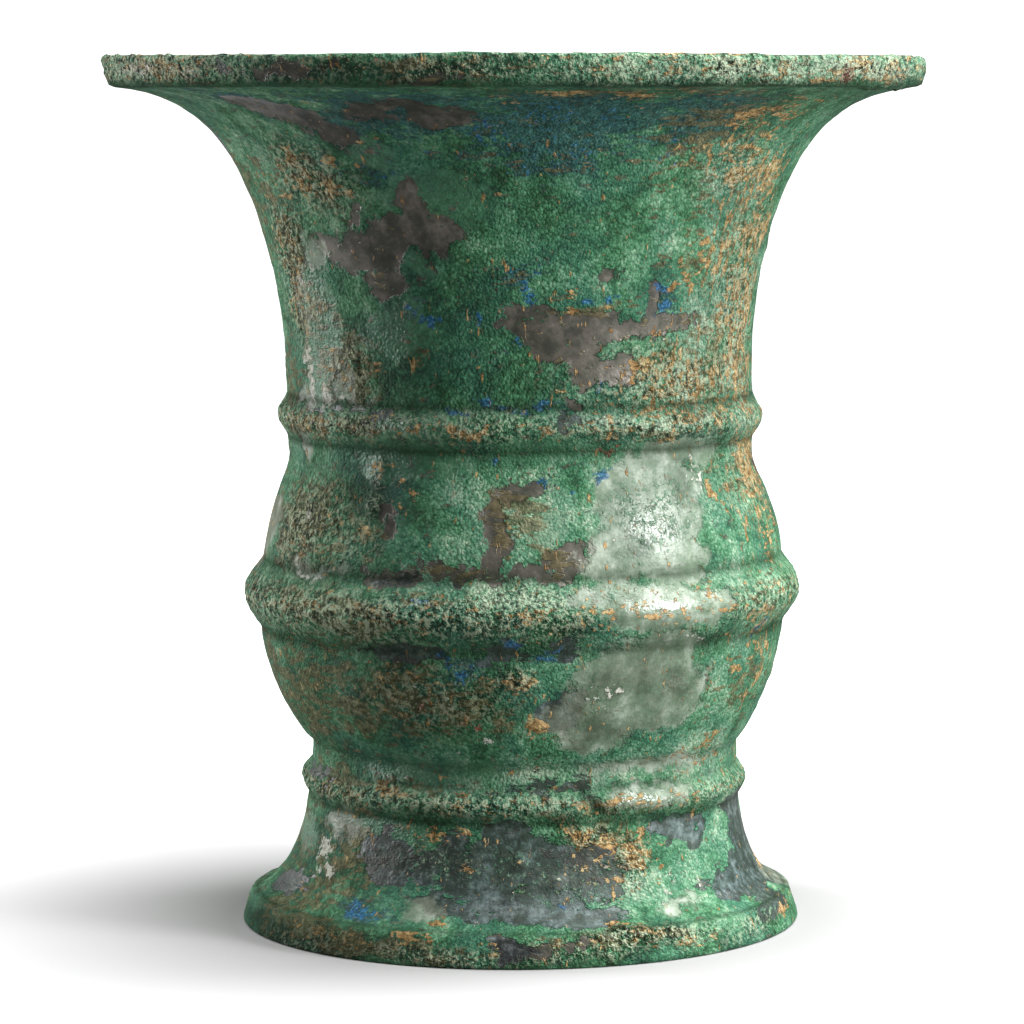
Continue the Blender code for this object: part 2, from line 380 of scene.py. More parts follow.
# %% Slate, film and smooth green skin
SLATE_FOOT = [
    (-36, 26, 9, 7, 0), (-24, 25, 8, 4, 18), (-19, 30, 4, 5, 29), (-4, 29, 12, 8.5, 0), (10, 25, 14, 7, 0),
    (19, 21, 7, 5, 0), (-12, 20, 14, 4.5, -5), (1, 15, 18, 6, 0), (15, 12, 11, 4.5, 0),
    (-19, 15, 7.5, 3, 0),
]
SLATE_FOOT_SIDES = [
    (-76, 14, 9, 3, 11), (76, 26, 8, 12, 0), (70, 15, 16, 8, 0), (71, 9, 10, 4.5, -6), (74, 35, 9, 6, 0),
    (58, 15, 13, 3.5, -5), (84, 20, 14, 14, 0), (-72, 45, 9, 1.5, -3),
]
SLATE_SMALL = [
    (-41, 246, 3, 2.5, 0), (-45, 151, 20, 1.2, -2), (-25, 87, 11, 2.7, -3), (-5, 87, 5.5, 3, 0),
    (-27, 107, 8, 1.2, -4), (8, 88, 3.5, 3.5, 36), (10, 149, 2.5, 2.5, 0), (9, 69, 7, 6, 20),
    (44, 34, 11, 4, 0), (50, 29, 5, 3, 0), (-2, 5, 6, 3, 0), (65, 8, 8, 4, 0), (-72, 14, 13, 4, 14),
    (10, 47, 12, 1.2, 3),
]
# Darker and paler places in the slate: one more number says by how much
CHARCOAL = [
    (-36, 26, 7, 6, 0, 1), (-23, 28, 7, 2.5, 23, 1), (-16, 26, 5, 3, 0, .8), (-5, 32, 17, 2.5, 0, .8),
    (-4, 27, 3, 4.5, -20, 1), (13, 26, 9, 3.5, 0, .9), (23, 23, 4, 4, 0, 1), (76, 26, 13, 11, 0, .6),
    (73, 9, 9.5, 3, -17, .8), (10, 47, 12, 1.4, 3, .9),
]
PALE_SLATE = [
    (0, 15, 17, 4, 0, 1), (15, 11, 10, 3.5, 0, .9), (-9, 13, 8.5, 2.7, 0, .7), (-10, 21, 4.5, 4, 0, .7),
    (44, 34, 12, 4, 0, 1.3), (49, 30, 5, 3, 0, 1.2), (67, 15, 8.5, 4, 0, .6),
]
FILM = [
    (27, 75, 22, 14, 0), (16, 67, 13, 10, 0), (31, 86, 15, 6, 0), (31, 127, 18, 14, 0), (41, 140, 15, 6, 0),
    (20, 112, 10.5, 8, 0), (34, 111, 12, 7, 0), (28, 99, 16, 9, 0), (40, 98, 11, 5, 0),
    (16, 102, 8, 3.5, 0), (-46, 157, 4, 6, 0), (-43, 153, 5.5, 2, 0), (-65, 153, 7.5, 3, 0),
    (-51, 196, 6.5, 4.5, -27), (-53, 108, 17, 2.5, -3), (-64, 141, 3.5, 4, 0), (31, 44, 14, 3.5, 0),
    (42, 44, 8, 3, 0), (38, 53, 18, 3, 0), (38, 13, 7, 3, 14), (-23, 13, 6.5, 4, 0), (-54, 34, 9, 5, 0),
]
# Where the film shines, and how much
GLOSS = [
    (29, 99, 15, 6, 0, 1), (31, 43, 15, 4, 0, 1), (31, 121, 14, 11, 0, .7), (38, 34, 8, 5, 0, .6),
    (34, 4, 12, 3, 0, .7),
]
SKIN = [
    (-16, 211, 17, 9, 0), (-23, 192, 5, 5, 0), (-23, 148, 18, 4, 0), (-29, 139, 19, 7, 0),
    (3, 120, 5, 5.5, 0), (5, 142, 16.5, 5, 0), (-30, 175, 13, 8.5, 0), (-28, 224, 6, 5, 0),
    (-78, 28, 14, 6, 0), (-42, 33, 15.5, 4.5, 0), (-24, 52, 21, 4, 0), (-55, 172, 10, 24, 0),
]
# Green that reaches into the bare patches
GREEN_BAYS = [(-23, 192, 5, 5, 0), (3, 120, 4.5, 5.5, 0), (23, 170, 6, 2.2, 9), (-10, 105, 8, 1.5, 0)]
crisp = (BARE_UNDER_LIP, BARE_NECK_LEFT, BARE_NECK_MIDDLE, BARE_BELLY, SLATE_FOOT, FILM, SKIN)
print("crisp patches:", sum(len(rows) for rows in crisp))

# %% [markdown]
# The rest lies on the crust like dust or crumbs, thick in the middle and thinning outwards: ochre earth,
# blue azurite, white and rust-red specks. These rows have one more number, for how thickly it lies.

# %% Ochre earth
OCHRE_MOUTH = [
    (-49, 222, 4.5, 5, 0, 1), (-46, 218, 4, 2.5, 0, .9), (-38, 221, 3.5, 3.5, 0, 1),
    (-50, 214, 5.5, 3, 0, .9), (-40, 214, 5, 3, -17, 1), (-37, 212, 3.5, 2, -9, .8),
    (-29, 226, 2, 2, 0, .9), (-32, 221, 1.5, 2.5, 0, .8), (-54, 209, 6, 2.7, 0, .6),
    (6, 240, 10.5, 4, 0, .9), (19, 239, 14.5, 4, -9, .8), (-2, 238, 8, 3.5, -11, .6),
    (26, 240, 12, 4, 0, .5), (43, 234, 12, 5, 22, .8), (55, 232, 10, 4.5, 29, .7), (48, 223, 8, 2.7, 8, .8),
    (52, 217, 10.5, 4.5, 0, 1), (65, 218, 8, 6.5, -6, .8), (64, 202, 10, 7, -4, .8),
    (74, 200, 8, 7, -3, .9), (42, 193, 11, 3, 19, .6), (38, 186, 3.5, 2, 0, .8), (45, 187, 3.5, 2, 0, .8),
    (45, 199, 5, 2.5, 15, .7), (-8, 246, 16, 2.7, 0, .35), (1, 245, 10, 2.7, 0, .3),
    (23, 246, 17, 2, 0, .45), (44, 243, 16, 1.7, 0, .7), (60, 243, 19, 2, 0, .8),
    (-27, 249, 18, 1.6, 0, .4), (30, 247, 19, 1.4, 0, .4),
]
OCHRE_NECK = [
    (56, 176, 5, 11, 0, .7), (60, 163, 5.5, 11, 0, .7), (58, 153, 7.5, 3.6, 0, .9),
    (70, 172, 5, 20, -1, .7), (38, 160, 15, 8, 0, .5), (30, 153, 16, 3, 0, .6), (10, 157, 4.5, 2.7, 0, .5),
    (14, 180, 4.5, 1.4, 0, .8), (20, 181, 3.5, 1.7, 0, .8), (13, 184, 1.7, 1.7, 0, .8),
    (6, 175, 1.4, 1.1, 0, 1), (35, 173, 2.4, 1.7, 0, 1), (23, 175, 1.5, 1.1, 0, .9), (22, 147, 5, 2, 0, .7),
    (35, 145, 9, 1.5, 0, .6), (55, 148, 15, 2.2, 0, .5), (-13, 147, 6, 1.6, 0, .9),
    (20, 155, 5, 1.7, 0, .5), (-48, 159, 9.5, 3.4, 0, .4), (-35, 163, 3.5, 2.8, 0, .7),
    (-52, 159, 4, 1.7, 0, .7), (-9, 166, 1.7, 1.1, 0, .8), (-5, 160, 1.7, 1.1, 0, .7),
]
OCHRE_BELLY = [
    (69, 138, 8.5, 7, 0, .9), (69, 129, 10, 8, 3, .8), (71, 142, 15, 3, 0, .8), (71, 112, 10, 15, 4, .4),
    (48, 130, 2, 2, 0, 1.6), (50, 127, 3, 1.5, -13, 1.6), (56, 93, 10, 2.3, 0, .8),
    (66, 84, 11.5, 6, 0, .5), (55, 80, 11, 2.7, 0, .6), (54, 58, 8, 4.5, 24, .7), (80, 50, 8, 6, 0, .6),
    (-36, 135, 2.4, 3.4, -8, .9), (-28, 132, 2.5, 1.4, 0, .7), (-25, 129, 3, 3, 0, .6),
    (-36, 143, 3.6, 1.4, -10, .8), (-29, 125, 2, 1.1, 0, .7), (-38, 119, 5, 2.2, 0, .5),
    (-34, 137, 7.5, 1.1, 0, .4), (-30, 81, 6, 1.5, -4, .7), (-25, 78, 4.5, 1.7, -9, .5),
    (-42, 86, 7, 1.8, -8, .5), (-1, 79, 3.6, 3.2, 0, .9), (-10, 76, 6, 1.5, 5, .7), (3, 65, 3.7, 3, 30, 1),
]
# Thin earth over wide areas
OCHRE_HAZE = [
    (66, 176, 15, 40, 0, .62), (62, 200, 16, 20, 0, .5), (44, 158, 26, 9, 0, .64), (34, 163, 18, 8, 0, .62),
    (76, 132, 16, 30, 0, .6), (50, 222, 16, 9, 15, .6), (62, 214, 16, 14, 0, .6),
    (44, 190, 16, 10, 15, .48), (48, 235, 26, 8, 20, .6), (60, 88, 18, 14, 0, .45),
    (30, 240, 60, 6, 0, .45), (25, 26, 22, 10, 0, .5), (-48, 215, 16, 12, -15, .5),
    (-62, 195, 12, 30, 5, .5), (-44, 165, 12, 12, 10, .45), (-30, 76, 34, 16, 0, .28),
    (-40, 5, 50, 4, 0, .5), (-55, 118, 20, 14, 0, .45), (-58, 246, 34, 5, 0, .7), (56, 246, 40, 5, 0, .6),
    (-60, 147, 22, 5, 0, .6), (45, 150, 40, 4, 0, .5), (70, 118, 12, 24, 0, .5), (50, 54, 26, 8, 0, .42),
]
OCHRE_FOOT = [
    (-39, 46, 5.6, 3, 0, 1), (-33, 45, 5, 1.2, 0, .9), (-53, 36, 4, 2, 0, .7), (-22, 52, 3.3, 1.4, 0, .7),
    (-16, 45, 4.6, 1.2, 0, 1), (-55, 44, 4.7, 2.3, 0, .6), (20, 43, 13, 2.6, 2, .7),
    (-4, 51, 2.5, 1.1, 0, .8), (10, 47, 8.5, 1.4, 0, .5), (15, 33, 7, 4.4, 0, .9), (29, 27, 8, 7, 0, 1),
    (22, 29, 4, 3.5, 0, 1), (32, 33, 4, 2.2, 0, .6), (20, 10, 3.5, 3, -14, .9), (25, 8, 8.5, 3.5, -9, .9),
    (16, 6, 4.6, 1.7, 0, .7), (36, 5, 13.7, 2.2, 8, .6), (7, 7, 2.2, 1.4, 0, 1.2), (7, 21, 2.2, 1.4, 0, .8),
    (-13, 26, 3.7, 2.2, -15, .8), (-1, 26, 2.2, 1.7, 0, .7), (-18, 11, 3.4, 1.7, -6, 1.2),
    (-23, 7, 11, 2, -3, .8), (-45, 5, 16, 2.5, -7, .6), (-7, 4, 4, 1.4, 0, .8), (-47, 40, 6.3, 3.4, 0, .5),
    (-25, 33, 7.4, 2.2, 9, .6), (-17, 34, 6, 2.8, 0, .6), (-7, 6, 5.5, 1.7, 0, .5), (73, 6, 15, 3.3, 5, .7),
]
# Earth that hangs down the wall
DRIPS = [
    (68, 178, 14, 36, 0, .72), (54, 198, 12, 22, 8, .6), (60, 218, 16, 12, 12, .72),
    (42, 226, 16, 8, 20, .55), (46, 162, 20, 16, 0, .58), (74, 130, 12, 22, 0, .66),
    (60, 122, 10, 18, 0, .4), (-64, 190, 8, 30, 4, .4), (66, 78, 12, 14, 0, .5),
]

# %% Blue azurite
AZURE_MOUTH = [
    (-48, 239, 19, 7, -31, .9), (-43, 236, 14, 4, -34, .8), (-24, 241, 17, 6.4, -9, .6),
    (-19, 238, 17, 4.5, -11, .5), (-39, 220, 7.3, 4, 0, .8), (-29, 218, 9.5, 4.2, 0, .9),
    (-17, 225, 9.6, 4.6, 0, .8), (-7, 238, 8, 7, 0, .6), (-4, 229, 9, 12, 0, 1), (2, 220, 5.4, 5.8, 0, .9),
    (5, 234, 11, 12.5, 0, 1), (11, 224, 9.4, 6, 0, .9), (16, 234, 9.5, 9.3, 0, .8),
    (21, 237, 11.6, 7, 0, .4), (30, 221, 7, 2.7, 0, .9), (33, 226, 11.4, 3.3, 0, .7),
    (49, 226, 6.4, 2.7, 0, .8), (41, 215, 3.8, 4.3, 0, .9), (9, 211, 3.3, 2.4, 0, .4),
    (-12, 206, 2.2, 3.4, 0, .6), (4, 201, 2.2, 2.3, 0, .7), (-35, 238, 7, 4, -19, .5),
]
AZURE_NECK = [
    (1, 186, 3.8, 5, 0, .9), (21, 183, 3, 1.7, 0, 1), (16, 183, 1.7, 1.4, 0, .9), (35, 185, 4, 2.8, 0, 1),
    (38, 181, 3.2, 2.3, 0, 1), (34, 179, 2.7, 1.4, 0, 1), (0, 172, 2, 1.1, 0, 1.2),
    (20, 158, 1.8, 1.4, 0, .9), (4, 192, 2.2, 2, 0, .7), (2, 153, 9, 1.7, 0, 1.1), (-16, 152, 7, 1.6, 0, 1),
    (-20, 178, 5.3, 4, 0, .8), (-25, 180, 2.8, 1.7, 0, .8), (-9, 179, 2.2, 2, 0, .8),
    (-4, 170, 2.7, 2.2, 0, .4), (-7, 153.5, 5, 1.6, 0, 1), (10, 191, 4, 2.2, 0, .3),
]
AZURE_LOWER = [
    (-8, 141, 1.4, 1.5, 0, 1.1), (-21, 101, 4.7, 1.2, 0, 1.1), (19, 136, 2.6, 2.5, 0, .9),
    (5, 133, 2.8, 2.5, 0, .9), (12, 130, 5.6, 2.3, 0, .5), (-3, 89, 3.8, 2.4, 0, 1),
    (-16, 85, 2.6, 4.6, 10, .8), (-11, 82, 2.8, 4, -21, .8), (6, 86, 5, 2.6, 21, 1), (61, 88, 5.5, 2, 0, 1),
    (-38, 12, 9.4, 4, 5, .9), (-11, 29, 4, 2.2, 0, .5), (9, 15, 2.5, 1.5, 0, .7), (-33, 87, 4, 1.8, 0, .7),
    (20, 33, 9, 2.8, 0, .3), (-11, 137, 2.8, 1.4, 0, .3),
]

# %% Petrol-blue tint
PETROL = [
    (-20, 236, 42, 15, 0, .9), (8, 234, 32, 20, 0, 1.1), (30, 236, 30, 12, 15, .9),
    (34, 231, 22, 10, 18, .9), (-46, 237, 24, 9, -30, .9), (2, 223, 13, 8, 0, .7), (-32, 219, 14, 5, 0, .6),
    (26, 226, 18, 5, 10, .6), (0, 187, 5, 7, 0, .5), (37, 183, 6, 5, 0, .7), (2, 153, 14, 1.6, 0, .9),
    (-10, 84, 11, 5, 0, .6), (6, 86, 7, 4, 20, .7), (-38, 12, 12, 5, 0, .7), (-22, 179, 9, 4, 0, .5),
]

# %% White specks and rust
CHALK = [
    (-51, 183, 2, 1.7, 0, 1.2), (-53, 192, 2, 2, 12, 1), (-59, 184, 2, 1.5, 0, 1),
    (-63, 166, 2.8, 3.2, 0, 1), (-61, 156, 3.2, 4.8, 4, 1.2), (-55, 153, 3, 1.7, -12, 1.1),
    (-44, 174, 2.4, 1.4, 0, .7), (-57, 148, 3.2, 1.4, 0, 1.2), (-58, 122, 4.3, 4, 10, .8),
    (-55, 107, 12.6, 1.6, -3, .95), (-50, 196, 2.6, 1.4, -20, .7), (-40, 131, 5.2, 2.3, 0, .3),
    (31, 124, 18, 10, 0, .4), (22, 114, 7, 4, 0, .4), (45, 132, 8, 8.4, 0, .5), (28, 102, 13.7, 4.2, 4, .5),
    (-60, 25, 5.7, 4.3, 0, 1.3), (-54, 20, 5, 2.8, 0, 1.2), (-59, 21, 4, 5.6, -5, .8),
    (25, 24, 15, 5, 0, .4), (42, 19, 12.5, 6.3, 0, .5), (9, 22, 5, 2.8, 0, .6), (-5, 20, 11, 4.6, 0, .4),
    (-9, 11, 8.4, 2, 0, .5), (38, 89, 10, 1.5, 0, .9), (32, 14, 5, 2, 21, .6), (21, 76, 3.6, 2.4, 0, .9),
    (16, 72, 4, 5.5, 32, .5), (-63, 246, 22, 2.8, 0, 1.05), (-48, 246, 11, 2.8, 0, .8),
    (-60, 147, 22, 3, 0, .6), (-62, 163, 3, 9, 0, 1.3), (-52, 157, 3.5, 5, 0, 1.4),
    (-58, 187, 2.2, 1.8, 0, 1.3), (-48, 154, 4, 1.5, 0, 1.2), (55, 245, 32, 3.4, 0, .4),
    (36, 170, 14, 6.2, 0, .4), (-27, 101, 18.4, 1.5, 0, .4), (25, 152, 12, 1.8, 0, .3),
    (-20, 76, 9, 9, 0, .3), (-8, 61, 2.8, 1.4, 0, .8), (-25, 58, 19, 2.5, 0, .4), (82, 11, 7, 10, -4, .4),
]
RUST = [
    (50, 244, 4, 2.8, 0, 1.3), (-18, 249, 1.7, 1, 0, 1.2), (19, 142, 4.7, 2, -5, 1),
    (-11, 65, 2.3, 2, 0, 1.3), (-15, 67, 3.5, 2.6, 0, .7), (-21, 71, 4.8, 3.7, 0, .6),
    (-12, 184, 2.2, 1.1, 0, .7), (25, 64, .9, 1, 0, 1.3), (-18, 70, 11.7, 6.8, 0, .35),
    (8, 94, 5.5, 2.3, 0, .35), (-1, 91, 1.6, 3.5, 0, .5), (-1, 95, 2.7, 3.5, 0, .4),
]

# %% [markdown]
# The green itself runs from a pale mint, where the crust is powdery, to a deep bottle green. Brown soil is
# caught in it, mostly down the left side, and the crust stands thicker in some places than in others.

# %% Pale and deep green
MINT = [
    (-58, 148, 24, 3, 0, .6), (55, 246, 38, 4, 0, 1.3), (33, 246, 23, 4, 0, 1.2), (17, 246, 19, 4, 0, .8),
    (6, 246, 16, 4, 0, .35), (26, 210, 21, 18, 0, .1), (40, 215, 18, 12, 0, .25), (57, 207, 13, 18, 0, .5),
    (39, 160, 26, 10, 0, .9), (52, 176, 20, 20, 0, .8), (66, 170, 14, 30, 0, .9), (32, 149, 36, 2.8, 0, .9),
    (-9, 151, 16, 2.4, 0, .8), (-9, 129, 17, 14, 20, .8), (-15, 118, 17, 8.4, 10, .6),
    (3, 120, 5.5, 5.5, 0, .8), (16, 117, 7.4, 14, 0, .7), (25, 136, 12, 8, 0, .5),
    (45, 121, 24, 22, 0, .45), (4, 102, 24, 5, 0, 1), (25, 102, 18, 4.2, 0, .8), (49, 103, 25, 12, 0, .5),
    (9, 110, 11, 2.7, 0, .5), (13, 85, 11, 4, 0, .6), (23, 87, 18, 6, 0, .45), (50, 75, 15, 16, 0, .4),
    (47, 70, 4.4, 16, 7, .6), (21, 53, 34, 7.3, 0, .8), (50, 54, 27, 9, 0, .7), (32, 44, 36, 2.6, 0, .6),
    (0, 50, 17, 2.8, 0, 1), (-5, 44, 11, 1.5, 0, .9), (-21, 55, 18, 6, 0, .5), (29, 18, 19, 10, 0, .8),
    (51, 23, 18, 11, 0, .5), (66, 38, 12, 15, 0, .3), (38, 13, 20, 3.3, 0, .7), (17, 22, 9, 4.5, 0, .6),
    (-24, 241, 18, 5.4, -14, .2), (-41, 239, 26, 7, -35, .4), (-55, 235, 22, 6, -33, .5),
    (-18, 238, 4, 3, 0, .4), (-21, 13, 9, 3.4, 0, .6), (-21, 15, 6, 4.7, 0, .5), (36, 4, 20, 3.3, 6, .5),
    (59, 6, 15, 3, 10, .4), (-28, 1, 25, 1.1, -4, .4), (69, 152, 16, 6, 0, .4), (-58, 246, 30, 4, 0, 1.2),
    (-4, 105, 26, 5, 0, .7), (2, 122, 16, 12, 0, .8), (-8, 133, 13, 8, 0, .5), (0, 50, 40, 6, 0, .5),
    (-50, 237, 26, 5, -33, .7), (-62, 224, 17, 10, -23, .3), (-56, 199, 11, 9, 0, .3),
    (-48, 70, 28, 19, 0, .1), (-56, 172, 12, 28, 0, .55),
]
# The two wide rows low at the left of the foot, at turns -55 and -52, darken the band partly as deep green
# and partly as painted shade
DEEP = [
    (-40, 233, 22, 7, -27, .9), (2, 212, 30, 18, 0, .35), (-55, 5, 40, 6, 0, 1), (36, 232, 24, 11, 16, .6),
    (-15, 246, 38, 3.2, 0, .9), (-29, 245, 18, 3.3, 0, .7), (1, 238, 87, 11.5, 0, .25),
    (8, 230, 32, 12, 0, .15), (-35, 130, 17, 14, 0, 1.1), (-52, 4, 50, 5, 0, 1.4), (-56, 70, 22, 20, 0, .4),
    (-52, 24, 24, 14, 0, .6), (-8, 246, 26, 4, 0, 1), (20, 78, 22, 12, 0, .4), (-11, 183, 22, 20, 0, .45),
    (-29, 164, 16, 14, 0, .5), (-14, 161, 17, 11, 0, .6), (5, 161, 14, 7, 0, .6),
    (-29, 142, 19, 6.3, 0, .7), (-22, 123, 15, 11, -19, .5), (-9, 142, 17, 5.4, 0, .5),
    (-4, 95, 30, 3, 0, .8), (-21, 90, 30, 4.2, 0, .6), (-32, 72, 41, 19, 0, .5), (-9, 74, 17, 12, 0, .6),
    (8, 94, 16, 4.3, 0, .7), (10, 40, 31, 2.5, 0, .6), (-29, 31, 22, 5.5, 0, .5), (-29, 4, 44, 4, -3, .8),
    (0, 3, 22, 2.2, 0, .8), (20, 3, 23, 2.2, 0, .6), (38, 2, 21, 1.7, 6, .5), (1, 207, 7, 11, 0, .3),
    (20, 155, 12, 2.8, 0, .4), (-50, 174, 12, 17, 0, .3), (35, 145, 31, 1.5, 2, .8),
    (0, 144, 19, 1.2, 0, .7), (38, 88, 23, 3, 6, .4), (27, 62, 26, 3.5, 4, .5), (23, 41, 28, 2.1, 3, .6),
]

# %% Brown soil, and the thickness of the crust
SOIL = [
    (-8, 246, 23, 3.2, 0, .7), (-53, 246, 30, 3.4, 0, .6), (-83, 214, 20, 28, 8, .7),
    (-65, 210, 12, 16, 9, .6), (-62, 197, 10, 16, 6, 1), (-61, 182, 9, 15, 4, 1),
    (-47, 216, 17, 10, -15, .6), (-40, 201, 7.5, 4, 0, .3), (-54, 179, 12, 4.5, 0, .8),
    (-76, 158, 22, 17, 0, .6), (-44, 163, 10, 13, 11, .9), (-53, 164, 10, 11, 0, .5),
    (-26, 164, 5.5, 5.5, 0, .3), (-63, 145, 19, 3.2, 0, .8), (-42, 147, 20, 3, 0, .7),
    (-61, 120, 18, 14, 8, 1), (-49, 127, 13, 8.5, 0, .5), (-43, 116, 13, 8.4, 0, .7),
    (-50, 99, 22, 5.6, -3, .8), (-36, 95, 21, 7, -4, .8), (-56, 81, 23, 15, 0, .6),
    (-45, 71, 30, 16, 0, .7), (-27, 73, 22, 12.5, 0, .8), (-13, 71, 17, 9.3, 0, .7),
    (-4, 77, 8.3, 9, 0, .5), (-60, 45, 21, 7.4, 0, .7), (-33, 46, 20, 4.3, 0, .6), (-5, 63, 22, 2, 0, .7),
    (-18, 40, 18, 2.6, 0, .5), (-60, 12, 21, 14, 20, .7), (-76, 22, 29, 18, 7, .5), (-39, 4, 36, 4, -6, .9),
    (-16, 4, 17, 2.2, 0, .7), (20, 7, 26, 3.3, 0, .7), (6, 112, 7, 4, -10, .8), (-15, 109, 11, 2.2, 0, .6),
    (-20, 102, 17, 1.8, 0, .7), (49, 165, 23, 17, 0, .6), (71, 158, 20, 17, 0, .5), (44, 150, 24, 3, 0, .6),
    (32, 146, 26, 2.1, 0, .8), (68, 132, 24, 14, 0, .5), (62, 97, 17, 12, 0, .4), (59, 74, 26, 17, 0, .4),
    (26, 42, 25, 2.3, 0, .8), (20, 30, 15, 8, 0, .9), (-43, 7, 30, 4, -10, .9), (50, 201, 23, 26, 0, .4),
    (39, 229, 30, 20, 22, .6), (-50, 26, 22, 14, 0, .7), (18, 240, 45, 6.3, 0, .6),
    (17, 180, 14, 3.3, 0, .6), (-3, 222, 8, 10, 0, .3), (-2, 124, 9, 12, 0, .9), (-75, 75, 14, 24, 0, .8),
    (-80, 30, 20, 14, 0, .5), (-60, 68, 20, 18, 0, .8), (-78, 120, 10, 14, 0, .7),
]
CRUST = [
    (58, 246, 42, 4, 0, 1), (30, 246, 28, 4, 0, 1), (11, 246, 24, 4, 0, .8), (-8, 246, 24, 4, 0, .7),
    (-29, 249, 28, 1.6, 0, .6), (-50, 247, 28, 3.3, 0, .6), (-46, 217, 18, 12, -15, 1),
    (-62, 196, 12, 17, 6, 1), (-61, 181, 14, 14, 4, 1), (-44, 163, 10, 13, 11, .8),
    (-53, 147, 24, 3.4, 0, .8), (-58, 119, 19, 14, 9, 1), (-41, 116, 11, 8.4, 0, .6),
    (-36, 134, 3, 4, 0, 1.3), (-35, 126, 3.4, 3.4, 0, .8), (-38, 95, 40, 8, -4, .7),
    (39, 160, 33, 11, 0, .8), (34, 148, 34, 3.3, 0, 1), (-11, 149, 17, 2.8, 0, .6),
    (63, 181, 21, 35, 0, .7), (65, 241, 16, 3, 0, 1), (51, 218, 19, 12, 0, .6), (72, 132, 30, 16, 0, .4),
    (31, 125, 15, 10, 0, .7), (0, 102, 24, 5, 0, .7), (-22, 73, 27, 12.5, 0, .5), (18, 33, 9, 5.5, 0, 1),
    (28, 26, 8, 7, 0, .8), (25, 7, 27, 4, 0, 1.2), (8, 5, 17, 3.3, 0, .8), (-20, 3, 26, 2.7, 0, .8),
    (-48, 3, 25, 4, 0, .6), (20, 43, 18, 2.8, 0, .6), (-15, 26, 20, 5.6, 0, .6), (9, 21, 14, 7, 0, .6),
    (-39, 46, 8.5, 4.7, 0, .8), (-1, 79, 4.4, 4, 0, .9), (15, 73, 7.6, 7.3, 32, .5), (59, 6, 21, 4, 10, .8),
    (25, 243, 59, 1.8, 0, .8),
]
dusted = (OCHRE_MOUTH, OCHRE_NECK, OCHRE_BELLY, OCHRE_FOOT, CHALK, RUST, MINT, DEEP, SOIL, CRUST)
print("dusted patches:", sum(len(rows) for rows in dusted))

# %% [markdown]
# The back isn't in the photograph. It gets patches of the same kinds, fewer and scattered by chance, from a
# numbered seed, so that they fall in the same places each time.

# %% Patches on the back
BACK_FROM, BACK_TO = 88, 272  # degrees
BACK_LOWEST, BACK_HIGHEST = 6, 240
MOST_SLANT = 25


def scattered(seed, how_many, widths, heights, strengths=None):
    """Patches over the back of the vessel, placed by chance."""
    chance = random.Random(seed)
    rows = []
    for _ in range(how_many):
        row = [chance.uniform(BACK_FROM, BACK_TO), chance.uniform(BACK_LOWEST, BACK_HIGHEST)]
        row += [chance.uniform(*widths), chance.uniform(*heights), chance.uniform(-MOST_SLANT, MOST_SLANT)]
        rows.append(row + [chance.uniform(*strengths)] if strengths else row)
    return rows


def thinned(rows, share):
    """The same patches with this share of their thickness."""
    return [(*row[:5], row[5] * share) for row in rows]


bare_rows = BARE_UNDER_LIP + BARE_ON_LIP + BARE_NECK_LEFT + BARE_NECK_MIDDLE + BARE_BELLY + BARE_FOOT
ochre_rows = OCHRE_MOUTH + OCHRE_NECK + OCHRE_BELLY + OCHRE_HAZE + OCHRE_FOOT
azure_rows = thinned(AZURE_MOUTH, 0.66) + thinned(AZURE_NECK + AZURE_LOWER, 1.3)
bare = patch(bare_rows + scattered(1, 14, (5, 16), (3.5, 9)))
bare = np.minimum(bare, -patch(GREEN_BAYS))
fields = {
    "bare": bare,
    "slate": patch(SLATE_FOOT + SLATE_FOOT_SIDES + SLATE_SMALL + scattered(2, 8, (9, 21), (5, 11))),
    "film": patch(FILM + scattered(3, 9, (8, 24), (6, 15))),
    "gloss": dust(GLOSS),
    "skin": patch(SKIN + scattered(4, 12, (8, 22), (5, 12))),
    "ochre": dust(ochre_rows + scattered(5, 60, (3, 12), (2, 8), (.4, .9))),
    "drips": dust(DRIPS + scattered(14, 8, (8, 16), (10, 26), (.5, .7))),
    "dark": dust(CHARCOAL) - 0.8 * dust(PALE_SLATE),
    "azure": dust(azure_rows + scattered(6, 22, (3, 12), (2, 7), (.4, .9))),
    "petrol": dust(PETROL + scattered(13, 14, (8, 26), (4, 12), (.4, .9))),
    "chalk": dust(CHALK + scattered(7, 22, (2, 9), (1.5, 5), (.3, 1))),
    "rust": dust(RUST + scattered(8, 8, (2, 6), (1.5, 4), (.4, 1))),
    "mint": dust(MINT + scattered(9, 34, (8, 28), (5, 16), (.3, .8))),
    "deep": dust(DEEP + scattered(10, 26, (8, 28), (5, 14), (.3, .8))),
    "soil": dust(SOIL + scattered(11, 42, (8, 26), (5, 18), (.4, .9))),
    "crust": dust(CRUST + scattered(12, 40, (6, 26), (4, 14), (.4, 1))),
}
INSIDE_SOIL, INSIDE_DEEP, INSIDE_OCHRE = 0.55, 0.45, -0.15
fields["soil"] = np.where(outside, fields["soil"], INSIDE_SOIL)
fields["deep"] = np.where(outside, fields["deep"], INSIDE_DEEP)

MIDDLE_TONE, TONE_RANGE, TONE_WAVES = 0.42, 0.34, 0.22
shade = fields.pop("mint") - fields.pop("deep")
fields["tone"] = MIDDLE_TONE + TONE_RANGE * shade + TONE_WAVES * waves(9, 4, 3.5)
fields["teal"] = np.clip(0.35 + 1.1 * waves(15, 3, 11.5), 0, 1)
print("fields:", ", ".join(sorted(fields)))

# %% [markdown]
# The lip and the crests of the ridges stand out most, so there the crust is coarser, a little paler and
# holds more earth. The crust is thickest on the shaded side, and a film keeps it off. Worn says how much of
# a crest each vertex is, from 0 to 1.

